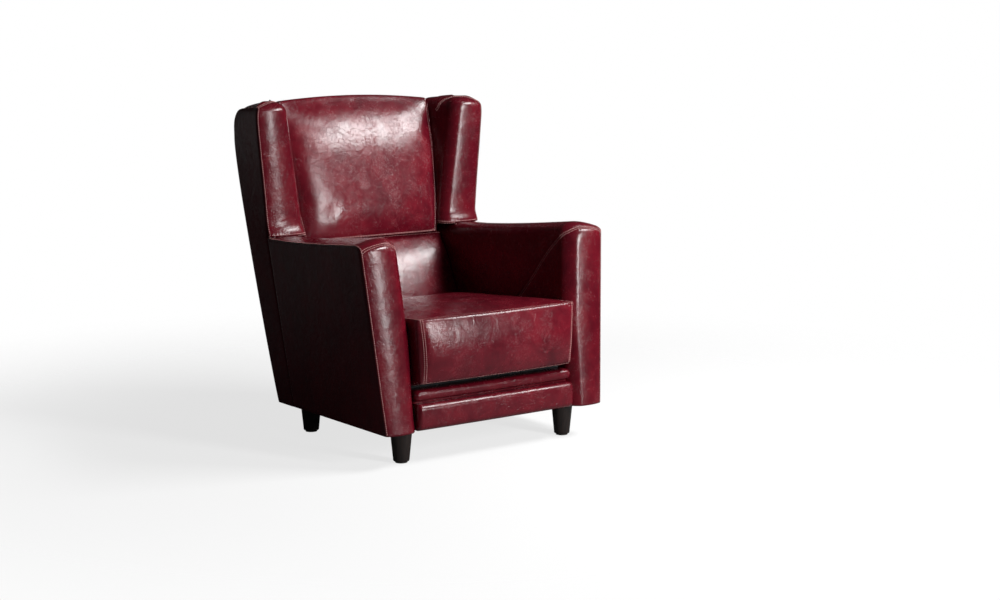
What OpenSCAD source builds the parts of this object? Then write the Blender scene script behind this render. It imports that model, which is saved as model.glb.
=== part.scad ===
/* [Overall] */
// Width across the arms at their widest
width = 860; // [800:5:920]
// Depth from the crown of the seat cushion to the rear of the back
depth = 860; // [820:5:920]
// Height of the wings' crest above the floor
height = 1003; // [960:1:1060]
// Height of the underside of the body above the floor
leg_h = 98; // [80:1:130]

/* [Arms] */
// Height of the outer arm seam at the front
arm_h = 628; // [600:1:660]
// Thickness of each arm
arm_w = 110; // [95:1:125]
// Outward lean of each arm at its top front corner
arm_splay = 44; // [20:1:60]
// How far the arm's front leans back from its foot to its top
arm_lean = 55; // [30:1:80]
// Fall of the arm's top seam from front to rear
arm_fall = 36; // [10:1:50]
// Rise of the arm's padded top above its outer seam, at the front
arm_crown = 17; // [8:1:32]
// Radius of the arm's padded inner and front edges
arm_round = 35; // [28:1:42]
// Bulge of the arm's and the wing's padded front faces
face_crown = 7; // [0:1:12]

/* [Wings and back] */
// Distance of the wing's front face in front of the rearmost point
wing_d = 198; // [180:1:220]
// Outward flare of the wing at its top
wing_flare = 32; // [10:1:45]
// Thickness of the wing at its top
wing_top_w = 98; // [85:1:115]
// Radius of the wing's padded front edge
wing_round = 32; // [28:1:40]
// Backward rake of the rear from the underside to its furthest point
back_rake = 243; // [200:1:260]
// Height of the rearmost point above the underside
back_bow_h = 777; // [700:1:820]
// Radius of the roll at the top of the rear
back_roll = 60; // [40:1:70]
// Rise of the back cushion's middle above the wings' crest
back_rise = 17; // [5:1:30]

/* [Seat] */
// Gap between the loose seat cushion and each arm
seat_gap = 11; // [6:1:20]
// Height of the cushion's front top seam above the floor
seat_h = 418; // [400:1:440]
// Fall of the cushion's top from its front seam to its rear
seat_fall = 38; // [20:1:50]
// Height of the deck that the cushion lies on
deck_h = 220; // [210:1:230]
// How far the cushion stands out in front of the arms' feet
seat_proud = 20; // [5:1:30]
// Rise of the seat cushion's crown
seat_crown = 20; // [8:1:30]

/* [Legs] */
// Diameter of a leg at its top
leg_top_d = 64; // [55:1:75]
// Diameter of a leg at its foot
leg_foot_d = 47; // [38:1:55]
// Distance of each leg's axis in from the side of the base
leg_side_in = 93; // [80:1:115]
// Distance of the front legs' axes behind the front of the body
leg_front_in = 68; // [55:1:80]
// Distance of the rear legs' axes in front of the rear of the underside
leg_rear_in = 35; // [32:1:60]

/* [Construction] */
// Thickness of the front and rear base rails, which take the legs
sill = 45; // [42:1:50]
// Thickness of the leather with its lining
skin = 2.5; // [2:0.5:3]
// Thickness of the foam on arms and wings
foam = 22; // [15:1:24]
// Thickness of the hardwood frame members
timber = 30; // [24:1:32]
// Height of the base rails
rail_h = 70; // [60:1:72]
// Space between neighbouring soft layers
fit = 0.3; // [0.2:0.1:0.5]

/* [Hidden] */
// Overrun of every cut
over = 1;
// Shares of the arm's length from its rear to its front, and turns of its rounded front edge
arm_row_shares = [1, 0.95, 0.8, 0.6, 0.4, 0.2];
turns = [0, 18, 36, 54, 72, 90];
// Shares of a wing's height up to its rounded top
wing_row_shares = [0, 0.18, 0.38, 0.6, 0.82];
// Shares of the padded inner face from its rounded edge to its far end
face_shares = [0.25, 0.5, 0.75, 1];
// How much of the inset at a rounded edge its sharp outer seam takes
seam_drop_share = 0.42;
// Share of the arm's crown that is left under the wing
rear_crown_share = 0.15;
// Power of the bow in the rear, one for a straight line
rake_power_share = 1.25;

base_half = width / 2 - arm_splay;
front_foot_y = -depth / 2 + seat_proud;
rear_foot_y = depth / 2 - back_rake;
wing_y = depth / 2 - wing_d;
split_share = 0.7;
split_foot_y = wing_y - wing_d * split_share;
layer = skin + fit;
pad = layer + foam;
wing_corner = wing_round / 2;
wing_seam_h = height - wing_corner;
wing_foot_h = arm_h - arm_fall + arm_crown * rear_crown_share * 2 + fit;
side_gap = layer + 4 * fit;
core_in = layer + 2 * fit;
wing_fall = wing_round / 4;
// How far below the rear's roll the layers under it stay
roll_gap = 3 * side_gap;
rail_top = leg_h + rail_h;
post_share = 0.85;
post_top = mix(wing_foot_h, height - wing_round, post_share);
web_t = skin;
deck_low_h = leg_h + rail_h + 2 * fit + 2 * skin;
seat_half = base_half - arm_w;
leg_x = base_half - leg_side_in;
back_half = seat_half - seat_gap - 4 * fit;
rear_round = leg_foot_d / 2;
leather = "#5a1018";
wood = "#d8b98a";
walnut = "#2a1710";
sponge = "#e9dfb8";
steel = "#9aa0a6";
black_cloth = "#26262a";

function clamp(a) = min(1, max(0, a));
function mix(a, b, t) = a + (b - a) * t;
function arc_in(r, t) = r - sqrt(max(0, r * r - t * t));
// The rear of the body in side view: a raked, bowed line with a roll at the top
function rear_line(z) = rear_foot_y + back_rake *
    (1 - pow(clamp(1 - (z - leg_h) / back_bow_h), rake_power_share));
function rear_y(z) = rear_line(z)
    - arc_in(back_roll, min(back_roll, max(0, z - (wing_seam_h - wing_fall - back_roll))));
// The front face of the back's slanted frame, a straight line inside the bowed rear
function frame_front_y(z) = mix(rear_line(rail_top), rear_line(post_top),
    (z - rail_top) / (post_top - rail_top)) - side_gap - timber;
// The front of the arms, which leans back as it rises
function front_y(z) = front_foot_y + arm_lean * (z - leg_h) / (arm_h - leg_h);
// The wing's front edge, and below it the side seam that runs down to the base
function split_y(z) = z < wing_foot_h
    ? mix(split_foot_y, wing_y, (z - leg_h) / (wing_foot_h - leg_h)) : wing_y;
function wing_edge_y(z) = wing_y
    + arc_in(wing_corner, min(wing_corner, max(0, z - (wing_seam_h - wing_corner))));
// Half width of the body: the arms splay forwards, the wings flare upwards
function side_x(y, z) = base_half
    + arm_splay * clamp((z - leg_h) / (arm_h - leg_h))
        * clamp((split_y(z) - y) / (split_y(z) - front_y(z)))
    + wing_flare * clamp((z - arm_h) / (height - arm_h))
        * clamp((rear_y(z) - y) / wing_d);
function arm_seam_z(share) = arm_h - arm_fall * sin(90 * share);

// Every two neighbouring rows of a grid give two triangles between each pair of columns
function grid_faces(rows, cols, first) = [
    for (i = [0 : rows - 2], j = [0 : cols - 2], k = [0, 1])
        let (a = first + i * cols + j, b = a + 1, c = a + cols, d = c + 1)
        k == 0 ? [a, c, b] : [b, c, d]];
function turned(faces) = [for (f = faces) [f[2], f[1], f[0]]];
function shifted(faces, n) = [for (f = faces) [f[0] + n, f[1] + n, f[2] + n]];
function flat(rows) = [for (row = rows, p = row) p];
function rim_faces(loop, n) = [
    for (i = [0 : len(loop) - 1], k = [0, 1])
        let (a = loop[i], b = loop[(i + 1) % len(loop)])
        k == 0 ? [a, b, a + n] : [b, b + n, a + n]];
function grid_loop(rows, cols) = concat(
    [for (j = [0 : cols - 1]) j],
    [for (i = [1 : rows - 1]) i * cols + cols - 1],
    [for (j = [cols - 2 : -1 : 0]) (rows - 1) * cols + j],
    [for (i = [rows - 2 : -1 : 1]) i * cols]);

// A sheet or block between two like grids of points
module between(outer, inner) {
    rows = len(outer);
    cols = len(outer[0]);
    n = rows * cols;
    faces = grid_faces(rows, cols, 0);
    polyhedron(concat(flat(outer), flat(inner)),
        concat(faces, shifted(turned(faces), n), rim_faces(grid_loop(rows, cols), n)));
}

// A padded layer with a blunt end. Its rows run along it, each from the outer seam over
// the rounded edge to the far side, and the end is closed from the last row to the outer edge
turn_cols = 8;
end_cols = 3;
// Share of the end's bulge that its first corner takes
corner_bulge_share = 0.5;
function end_points(rows, edge, bulge) =
    let (last = rows[len(rows) - 1])
    [for (k = [turn_cols - 1 : len(last) - 1], c = [0 : end_cols - 1])
        mix(edge[k - turn_cols + 1], last[k], c / end_cols)
            + bulge * sin(180 * c / end_cols) * (k == turn_cols - 1 ? corner_bulge_share : 1)];
function blunt_faces(rows, cols) =
    let (last = (rows - 1) * cols, n = rows * cols, far = turn_cols - 1,
        at = function (k, c) c == end_cols ? last + k : n + (k - far) * end_cols + c)
    concat(
        grid_faces(rows, cols, 0),
        [for (k = [far : cols - 2], c = [0 : end_cols - 1], t = [0, 1])
            t == 0 ? [at(k, c + 1), at(k, c), at(k + 1, c)]
                : [at(k + 1, c + 1), at(k, c + 1), at(k + 1, c)]],
        [for (j = [0 : far - 1]) let (c = min(end_cols - 1, floor(j / 2)))
            [last + j + 1, last + j, at(far, c)]],
        [for (c = [1 : end_cols - 1]) [last + 2 * c, at(far, c - 1), at(far, c)]]);
function blunt_loop(rows, cols) =
    let (last = (rows - 1) * cols, n = rows * cols, far = turn_cols - 1)
    concat(
        [for (j = [0 : cols - 1]) j],
        [for (i = [1 : rows - 1]) i * cols + cols - 1],
        [for (c = [end_cols - 1 : -1 : 0]) n + (cols - 1 - far) * end_cols + c],
        [for (k = [cols - 2 : -1 : far]) n + (k - far) * end_cols],
        [for (i = [rows - 1 : -1 : 1]) i * cols]);
module blunt_layer(outer, outer_edge, inner, inner_edge, bulge) {
    rows = len(outer);
    cols = len(outer[0]);
    top = concat(flat(outer), end_points(outer, outer_edge, bulge));
    low = concat(flat(inner), end_points(inner, inner_edge, bulge));
    faces = blunt_faces(rows, cols);
    polyhedron(concat(top, low),
        concat(faces, shifted(turned(faces), len(top)), rim_faces(blunt_loop(rows, cols), len(top))));
}

// A closed body through like rings. Its ends are closed round their middles, or zipped across
// where the rings start at the left and their two halves match
function sum(list, i = 0) = i == len(list) ? 0 : list[i] + sum(list, i + 1);
function ring_middle(ring) = [for (a = [0, 1, 2]) sum([for (p = ring) p[a]]) / len(ring)];
function fan_faces(cols, middle) = [for (j = [0 : cols - 1]) [j, (j + 1) % cols, middle]];
function zip_faces(cols) = [
    for (j = [0 : cols / 2 - 2], k = [0, 1])
        let (far = cols - 2 - j) k == 0 ? [j, j + 1, far] : [j, far, far + 1]];
module lofted(rings, zipped = false) {
    rows = len(rings);
    cols = len(rings[0]);
    n = rows * cols;
    low = zipped ? zip_faces(cols) : fan_faces(cols, n);
    high = zipped ? low : fan_faces(cols, cols + 1);
    polyhedron(
        zipped ? flat(rings) : concat(flat(rings), [ring_middle(rings[0]), ring_middle(rings[rows - 1])]),
        concat(
            [for (i = [0 : rows - 2], j = [0 : cols - 1], k = [0, 1])
                let (a = i * cols + j, b = i * cols + (j + 1) % cols)
                k == 0 ? [a, a + cols, b] : [b, a + cols, b + cols]],
            low,
            shifted(turned(high), n - cols)));
}
// A straight wooden member between two four-cornered ends
module member(low, high) {
    color(wood) polyhedron(concat(low, high), [
        [0, 1, 2], [0, 2, 3], [4, 6, 5], [4, 7, 6],
        for (j = [0 : 3], k = [0, 1])
            let (a = j, b = (j + 1) % 4) k == 0 ? [a, a + 4, b] : [b, a + 4, b + 4]]);
}
module mirrored(side) {
    if (side > 0) children();
    else mirror([1, 0, 0]) children();
}

// An arm's layer at a depth of d under its padded faces, just inside the outer panel
function arm_rows() = concat(
    [for (share = arm_row_shares) [share, 0]], [for (turn = turns) [0, turn]]);
function arm_inset(row, d) = d + (arm_round - d) * (1 - cos(row[1]));
function arm_row_y(row, z, d) =
    let (start = front_y(z) + arm_round,
        end = min(rear_y(z) - layer - timber - pad, frame_front_y(z) - web_t - 2 * fit))
    start + (end - start) * row[0] - (arm_round - d) * sin(row[1]);
function arm_low(row) = row[1] > 0 ? leg_h : deck_low_h;
function arm_top_z(row) = arm_seam_z(row[0]) + arm_crown * mix(1, rear_crown_share, row[0]);
function arm_point(row, d, w, z) =
    let (y = arm_row_y(row, z, d)) [side_x(y, z) - mix(side_gap, arm_w - arm_inset(row, d), w), y, z];
function arm_line(row, d) =
    let (e = arm_inset(row, d), r = arm_round - d,
        seam = arm_seam_z(row[0]) - mix(d, e, seam_drop_share),
        crest = arm_top_z(row) - e,
        w_turn = (arm_w - e - r - side_gap) / (arm_w - e - side_gap),
        low = arm_low(row))
    concat(
        [for (k = [0 : 3]) arm_point(row, d, w_turn * k / 3, mix(seam, crest, sin(30 * k)))],
        [for (k = [1 : 4]) arm_point(row, d,
            mix(w_turn, 1, sin(22.5 * k)), crest - r * (1 - cos(22.5 * k)))],
        [for (share = face_shares) arm_point(row, d, 1, mix(crest - r, low, share))]);
function arm_grid(d) = [for (row = arm_rows()) arm_line(row, d)];
function arm_edge(d) =
    let (line = arm_line([0, 90], d))
    [for (k = [turn_cols - 1 : len(line) - 1])
        let (z = line[k][2], y = front_y(z) + d) [side_x(y, z) - side_gap, y, z]];
module arm_layer(side, d_out, d_in) {
    mirrored(side) blunt_layer(arm_grid(d_out), arm_edge(d_out),
        arm_grid(d_in), arm_edge(d_in), [0, -face_crown, 0]);
}
module arm_cover(side) { color(leather) arm_layer(side, 0, skin); }
module arm_foam(side) { color(sponge) arm_layer(side, layer, pad); }

// A wing's layer, in level rows from its foot on the arm to its rounded top
function wing_rows() = concat(
    [for (share = wing_row_shares) [share, 0]], [for (turn = turns) [1, turn]]);
function wing_z(row, r, back) =
    mix(wing_foot_h, height - wing_round, row[0]) + r * sin(row[1]) - wing_fall * back * row[0];
function wing_in_x(z) = mix(back_half, base_half + wing_flare - wing_top_w,
    (z - wing_foot_h) / (height - wing_foot_h));
function wing_line(row, d) =
    let (r = wing_round - d, e = d + r * (1 - cos(row[1])),
        seam_r = wing_corner - d / 2,
        seam_z = wing_z(row, seam_r, 0),
        seam_y = wing_y + d + seam_r * (1 - cos(row[1])),
        z = wing_z(row, r, 0), face_y = wing_y + e,
        out_x = side_x(seam_y, seam_z) - side_gap - d / 2, in_x = wing_in_x(z) + e)
    concat(
        [for (k = [0 : 3]) [mix(out_x, in_x + r, k / 3),
            mix(seam_y, face_y, sin(30 * k)) - face_crown * sin(60 * k) * (1 - sin(row[1])),
            mix(seam_z, z, sin(30 * k))]],
        [for (k = [1 : 4]) [in_x + r * (1 - sin(22.5 * k)), face_y + r * (1 - cos(22.5 * k)), z]],
        [for (share = face_shares)
            let (level = wing_z(row, r, share),
                end_y = level > post_top + timber ? rear_y(level + roll_gap) - roll_gap
                    : frame_front_y(level) - web_t - 2 * fit)
            [mix(in_x, back_half + fit + e, share), mix(face_y + r, end_y, share), level]]);
function wing_grid(d) = [for (row = wing_rows()) wing_line(row, d)];
function wing_edge(d) =
    let (line = wing_line([1, 90], d))
    [for (k = [turn_cols - 1 : len(line) - 1])
        let (y = line[k][1], z = line[k][2] - wing_corner + d / 2)
        [side_x(y, z) - side_gap - d / 2, y, z]];
module wing_layer(side, d_out, d_in) {
    mirrored(side) blunt_layer(wing_grid(d_in), wing_edge(d_in),
        wing_grid(d_out), wing_edge(d_out), [0, 0, face_crown / 2]);
}
module wing_cover(side) { color(leather) wing_layer(side, 0, skin); }
module wing_foam(side) { color(sponge) wing_layer(side, layer, pad); }

// The flat outer sides: one panel under the arm's seam, one behind it up to the wing's top
panel_shares = [0, 0.25, 0.5, 0.75, 1];
function arm_panel_line(row, d) =
    let (start_y = arm_row_y([0, 0], arm_h, 0), end_y = arm_row_y([1, 0], arm_h, 0),
        at_y = mix(start_y, split_y(arm_h), row[0]),
        top = arm_seam_z(clamp((at_y - start_y) / (end_y - start_y)))
            - seam_drop_share * arm_round * (1 - cos(row[1])))
    [for (share = panel_shares)
        let (z = mix(leg_h, top, share),
            y = mix(front_y(z) + arm_round * (1 - sin(row[1])), split_y(z) - fit, row[0]))
        [side_x(y, z) - d, y, z]];
module outer_arm_panel(side) {
    color(leather) mirrored(side) between(
        [for (row = arm_rows()) arm_panel_line(row, 0)],
        [for (row = arm_rows()) arm_panel_line(row, skin)]);
}
low_shares = [0, 0.2, 0.4, 0.6, 0.8];
function side_levels() = concat(
    [for (share = low_shares) mix(leg_h, wing_foot_h, share)],
    [for (share = low_shares) mix(wing_foot_h, wing_seam_h - back_roll, share)],
    [for (turn = turns) wing_seam_h - back_roll * (1 - sin(turn))]);
function wing_panel_line(z, d) =
    let (front = z < wing_foot_h ? split_y(z) + fit : wing_edge_y(z),
        fall = wing_fall * clamp((z - wing_foot_h) / (wing_seam_h - wing_foot_h)),
        back = rear_y(z - fall) - rear_round, r = rear_round - d)
    concat(
        [for (share = panel_shares)
            let (y = mix(front, back, share), level = z - fall * share)
            [side_x(y, level) - d, y, level]],
        [for (k = [1 : 4])
            [side_x(back, z - fall) - rear_round + r * cos(22.5 * k), back + r * sin(22.5 * k),
                z - fall]]);
module outer_wing_panel(side) {
    color(leather) mirrored(side) between(
        [for (z = side_levels()) wing_panel_line(z, 0)],
        [for (z = side_levels()) wing_panel_line(z, skin)]);
}
function back_panel_line(z, d) =
    let (fall = wing_fall * clamp((z - wing_foot_h) / (wing_seam_h - wing_foot_h)),
        half = side_x(rear_y(z - fall) - rear_round, z - fall) - rear_round - fit)
    [for (share = [-1, 0, 1]) [half * share, rear_y(z - fall) - d, z - fall]];
module outer_back_panel() {
    color(leather) between(
        [for (z = side_levels()) back_panel_line(z, skin)],
        [for (z = side_levels()) back_panel_line(z, 0)]);
}

// A rounded outline with a bulged front and drawn-in sides, in one level
function cushion_ring(half, front, rear, r, bulge, pull) = concat(
    [for (k = [-4 : 4]) [k / 4 * (half - r), front - bulge * cos(22.5 * k)]],
    [for (k = [1, 2]) [half - r * (1 - sin(30 * k)), front + r * (1 - cos(30 * k))]],
    [for (k = [-3 : 3]) [half - pull * cos(30 * k), mix(front + r, rear - r, (k + 3) / 6)]],
    [for (k = [1, 2]) [half - r * (1 - cos(30 * k)), rear - r * (1 - sin(30 * k))]],
    [for (k = [-3 : 3]) [-k / 3 * (half - r), rear]],
    [for (k = [2, 1]) [-half + r * (1 - cos(30 * k)), rear - r * (1 - sin(30 * k))]],
    [for (k = [3 : -1 : -3]) [-half + pull * cos(30 * k), mix(front + r, rear - r, (k + 3) / 6)]],
    [for (k = [2, 1]) [-half + r * (1 - sin(30 * k)), front + r * (1 - cos(30 * k))]]);

// A back pad in level rings: flat behind, crowned in front, rounded over at its ends
side_shares = [0.35, 0.7];
// Power of a pad's crown, which is higher the flatter its middle is
crown_power_share = 2.6;
function pad_ring(z, half, back, front, crown, rise, r) =
    let (ts = [for (k = [-6 : 6]) k / 6],
        side = [for (share = side_shares) mix(front, back, share)])
    concat(
        [[-half, side[0], z]],
        [for (t = ts) [(half - r / 2) * t, front - crown * (1 - pow(abs(t), crown_power_share)),
            z + rise * (1 - t * t)]],
        [[half, side[0], z], [half, side[1], z]],
        [for (t = ts) [(r / 4 - half) * t, back, z + rise * (1 - t * t)]],
        [[-half, side[1], z]]);
// Thickness of the pads at their sides, in foam layers, and how much more the lumbar pad has at its foot
edge_share = 1.7;
foot_edge_share = 2.05;
pad_back = web_t + 2 * fit;
split_h = wing_foot_h - timber;
cushion_edge = foam * edge_share;
cushion_crown = foam * 2;
cushion_top = height - fit * 4;
// How far below the seat's edge the lumbar pad goes, as a share of the seat cushion
lumbar_low_share = 0.45;
lumbar_low = mix(seat_h, deck_h, lumbar_low_share);
lumbar_crown = foam;
// Rows of the back cushion: share of its height, of its side's thickness and of its crown
back_shares = [[0, 0.35, 0.3], [0.02, 0.75, 0.6], [0.07, 1, 0.85], [0.2, 1, 1], [0.4, 1.1, 1],
    [0.6, 1.2, 0.95], [0.8, 1.35, 0.85]];
top_edge_share = 1.45;
top_crown_shares = [0.75, 0.1];
function back_rings(d) =
    let (low = split_h + fit + d, high = cushion_top - back_roll,
        lean = function (z) frame_front_y(min(z, post_top)) - pad_back,
        back = function (z) min(lean(z), rear_y(z + roll_gap + back_rise) - side_gap) - d,
        front = function (z, share) lean(z) + d - cushion_edge * share)
    concat(
        [for (s = back_shares) let (z = mix(low, high, s[0]))
            pad_ring(z, back_half - d, back(z), front(z, s[1]), cushion_crown * s[2], 0, cushion_edge)],
        [for (turn = turns) let (z = high + (back_roll - d) * sin(turn))
            pad_ring(z, back_half - d, back(z), front(high, top_edge_share),
                cushion_crown * mix(top_crown_shares[0], top_crown_shares[1], 1 - cos(turn)),
                back_rise * sin(turn), cushion_edge)]);
module back_cushion_cover() {
    color(leather) difference() {
        lofted(back_rings(0), true);
        lofted(back_rings(skin), true);
    }
}
module back_cushion_core() { color(sponge) lofted(back_rings(core_in), true); }
// Rows of the lumbar pad, in the same three shares
lumbar_shares = [[0, 0.9, 0.4], [0.1, 1, 0.7], [0.3, 1, 0.95], [0.5, 1, 1], [0.7, 1, 0.95],
    [0.86, 0.95, 0.8], [0.95, 0.75, 0.6], [1, 0.45, 0.35]];
lumbar_foot_edge = cushion_edge * foot_edge_share;
function lumbar_z(s, d) = mix(lumbar_low + d, split_h - d, s[0]);
function lumbar_edge_y(s, d) = frame_front_y(lumbar_z(s, d)) - pad_back + d
    - mix(lumbar_foot_edge, cushion_edge, s[0]) * s[1];
function lumbar_front_y(s, d) = lumbar_edge_y(s, d) - lumbar_crown * s[2];
function lumbar_rings(d) = [for (s = lumbar_shares)
    pad_ring(lumbar_z(s, d), seat_half - 2 * fit - d, frame_front_y(lumbar_z(s, d)) - pad_back - d,
        lumbar_edge_y(s, d), lumbar_crown * s[2], 0, cushion_edge)];
module lumbar_pad_cover() {
    color(leather) difference() {
        lofted(lumbar_rings(0), true);
        lofted(lumbar_rings(skin), true);
    }
}
module lumbar_pad_core() { color(sponge) lofted(lumbar_rings(core_in), true); }

// The loose seat cushion: boxed sides between two seams, a crowned top and a flat underside
bulge_share = 0.8;
pull_share = 0.3;
seat_front = -depth / 2 + seat_crown * bulge_share;
seat_rear = lumbar_front_y(lumbar_shares[1], 0) - seat_gap / 2;
seat_corner = seat_crown * 1.2;
under_share = 0.94;
// Rows of the boxed sides: share of their height and of their bulge
box_shares = [[0.08, 0], [0.3, 0.75], [0.55, 1], [0.8, 0.7], [1, 0]];
// Rows of the crowned top: share of its outline and of its rise
crown_shares = [[0.985, 0.22], [0.94, 0.45], [0.84, 0.7], [0.66, 0.88], [0.42, 0.97], [0.2, 1]];
function seat_top_z(y) = seat_h - seat_fall * clamp((y - seat_front) / (seat_rear - seat_front));
function seat_ring(step, d, size, lift) =
    let (outline = cushion_ring(seat_half - seat_gap - d, seat_front + d, seat_rear - d,
            seat_corner - d / 2, seat_crown * bulge_share * (1 - step[1] * pull_share),
            seat_crown * pull_share * step[1]),
        mid = [0, (seat_front + seat_rear) / 2])
    [for (p = outline) let (q = mid + (p - mid) * size)
        [q[0], q[1], mix(deck_h + fit + d, seat_top_z(q[1]) - d, step[0]) + lift]];
function seat_rings(d) = concat(
    [seat_ring([0, 0], d, under_share, 0)],
    [for (step = box_shares) seat_ring(step, d, 1, 0)],
    [for (step = crown_shares) seat_ring([1, 0], d, step[0], seat_crown * step[1])]);
module seat_cushion_cover() {
    color(leather) difference() {
        lofted(seat_rings(0));
        lofted(seat_rings(skin));
    }
}
module seat_cushion_core() { color(sponge) lofted(seat_rings(core_in)); }

// Hardwood base: a front and a rear sill that take the legs, side rails and corner blocks
sill_y = arm_row_y([0, 0], deck_low_h, 0) + fit;
rail_x = base_half - layer - fit;
rear_sill_y = rear_foot_y - layer - fit - sill;
bolt_d = leg_foot_d / 6;
bolt_up = sill;
front_leg_y = front_foot_y + leg_front_in;
rear_leg_y = rear_foot_y - leg_rear_in;
nut_h = bolt_d * 1.2;
bolt_len = bolt_up * 1.8;
module leg_places(front, rear) {
    if (front) for (x = [-leg_x, leg_x]) translate([x, front_leg_y, 0]) children();
    if (rear) for (x = [-leg_x, leg_x]) translate([x, rear_leg_y, 0]) children();
}
module bolt_bores(front, rear) {
    leg_places(front, rear) {
        translate([0, 0, leg_h - over]) cylinder(d = bolt_d + fit, h = bolt_up + over + fit, $fn = 32);
        translate([0, 0, leg_h - over]) cylinder(d = bolt_d * 2 + fit, h = nut_h + over, $fn = 32);
    }
}
module front_sill() {
    color(wood) difference() {
        translate([-rail_x, sill_y, leg_h]) cube([rail_x * 2, sill, rail_h]);
        bolt_bores(true, false);
    }
}
module rear_sill() {
    color(wood) difference() {
        translate([timber - rail_x, rear_sill_y, leg_h]) cube([(rail_x - timber) * 2, sill, rail_h]);
        bolt_bores(false, true);
    }
}
module side_rail(side) {
    color(wood) mirrored(side) translate([rail_x - timber, sill_y + sill, leg_h])
        cube([timber, rear_foot_y - rear_round - sill_y - sill, rail_h]);
}
block_leg = timber * 2.4;
module corner_blocks() {
    color(wood) for (side = [-1, 1]) mirrored(side) translate([rail_x - timber, 0, leg_h])
        linear_extrude(rail_h / 2) {
            polygon([[0, sill_y + sill], [-block_leg, sill_y + sill], [0, sill_y + sill + block_leg]]);
            polygon([[0, rear_sill_y], [0, rear_sill_y - block_leg], [-block_leg, rear_sill_y]]);
        }
}

// Turned legs with a hanger bolt, a pronged nut in the sill and a felt glide
foot_round = leg_foot_d / 12;
glide_h = foot_round;
module leg(x, y) {
    color(walnut) translate([x, y, 0]) difference() {
        rotate_extrude($fn = 64) polygon(concat(
            [[0, glide_h], [leg_foot_d / 2 - foot_round, glide_h]],
            [for (a = [15 : 15 : 75]) [leg_foot_d / 2 - foot_round * (1 - sin(a)),
                glide_h + foot_round * (1 - cos(a))]],
            [[leg_foot_d / 2, glide_h + foot_round], [leg_top_d / 2, leg_h - foot_round],
                [leg_top_d / 2, leg_h], [0, leg_h]]));
        translate([0, 0, leg_h - bolt_up + nut_h]) cylinder(d = bolt_d + fit, h = bolt_up, $fn = 32);
    }
}
module leg_bolts() {
    color(steel) leg_places(true, true) translate([0, 0, leg_h - bolt_up + nut_h + fit])
        cylinder(d = bolt_d, h = bolt_len - nut_h, $fn = 32);
}
module leg_nuts() {
    color(steel) leg_places(true, true) translate([0, 0, leg_h + fit]) difference() {
        cylinder(d = bolt_d * 2, h = nut_h - fit, $fn = 32);
        translate([0, 0, -over]) cylinder(d = bolt_d + fit, h = nut_h + 2 * over, $fn = 32);
    }
}
module leg_glides() {
    color(black_cloth) leg_places(true, true)
        cylinder(d = leg_foot_d - 3 * foot_round, h = glide_h, $fn = 48);
}

// Arm frame: a front post on the sill and a top rail back to the slanted post
post_low = rail_top;
corner_in = arm_round - pad;
function in_x(y, z) = side_x(y, z) - arm_w + pad + corner_in;
function out_x(y, z) = side_x(y, z) - side_gap - fit;
function post_y(z) = front_y(z) + pad + fit;
arm_rail_top = arm_h - pad - corner_in;
arm_rail_z = arm_h - arm_fall - pad - fit;
module arm_post(side) {
    mirrored(side) member(
        [for (c = [[0, 0], [1, 0], [1, 1], [0, 1]]) let (y = post_y(post_low) + timber * c[1])
            [c[0] == 0 ? in_x(y, post_low) : out_x(y, post_low), y, post_low]],
        [for (c = [[0, 0], [1, 0], [1, 1], [0, 1]]) let (y = post_y(arm_rail_top) + timber * c[1])
            [c[0] == 0 ? in_x(y, arm_rail_top) : out_x(y, arm_rail_top), y, arm_rail_top]]);
}
module arm_rail(side) {
    lean = arm_splay / (wing_y - front_y(arm_rail_z));
    ends = [for (y = [frame_front_y(arm_rail_z) + timber, post_y(arm_rail_z) + timber])
        let (x = out_x(min(y, wing_y), arm_rail_z - timber) - lean * max(0, y - wing_y))
        [for (c = [[0, 0], [1, 0], [1, 1], [0, 1]])
            [x - timber * (1 - c[0]), y, arm_rail_z - timber * (1 - c[1])]]];
    mirrored(side) member(ends[0], ends[1]);
}

// Back frame: two slanted posts from the rear sill, joined by a top and a middle rail
post_in = back_half + layer + foam + 2 * layer;
function slab(x0, x1, z) = [for (c = [[x0, 0], [x1, 0], [x1, 1], [x0, 1]])
    [c[0], frame_front_y(z) + timber * c[1], z]];
module back_post(side) {
    mirrored(side) member(slab(post_in, post_in + sill, rail_top), slab(post_in, post_in + sill, post_top));
}
module back_top_rail() {
    member(slab(-post_in, post_in, post_top - sill), slab(-post_in, post_in, post_top));
}
module back_middle_rail() {
    member(slab(-post_in, post_in, split_h - sill), slab(-post_in, post_in, split_h));
}

// Wing frame: a plywood board on the end of the arm rail, beside the post
ply = timber * 0.6;
module wing_board(side) {
    front = arm_row_y([1, 0], wing_foot_h, 0) + 3 * fit;
    low = arm_rail_z + fit;
    ends = [for (z = [low, post_top]) [for (c = [[0, 0], [1, 0], [1, 1], [0, 1]])
        let (y = c[1] == 0 ? front : rear_y(z) - rear_round)
        [side_x(y, z) - 2 * side_gap - ply * (1 - c[0]), y, z]]];
    mirrored(side) member(ends[0], ends[1]);
}

// Suspension: zigzag springs across the base, elastic webbing across the back
wire_d = 3.5;
spring_count = 5;
spring_half = timber;
spring_bends = 16;
// Share of a sill's width that the springs' ends lie in from its edge
spring_in_share = 0.4;
spring_y0 = sill_y + sill * spring_in_share;
spring_y1 = rear_sill_y + sill * (1 - spring_in_share);
spring_z = rail_top + wire_d;
spring_steps = 4;
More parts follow.
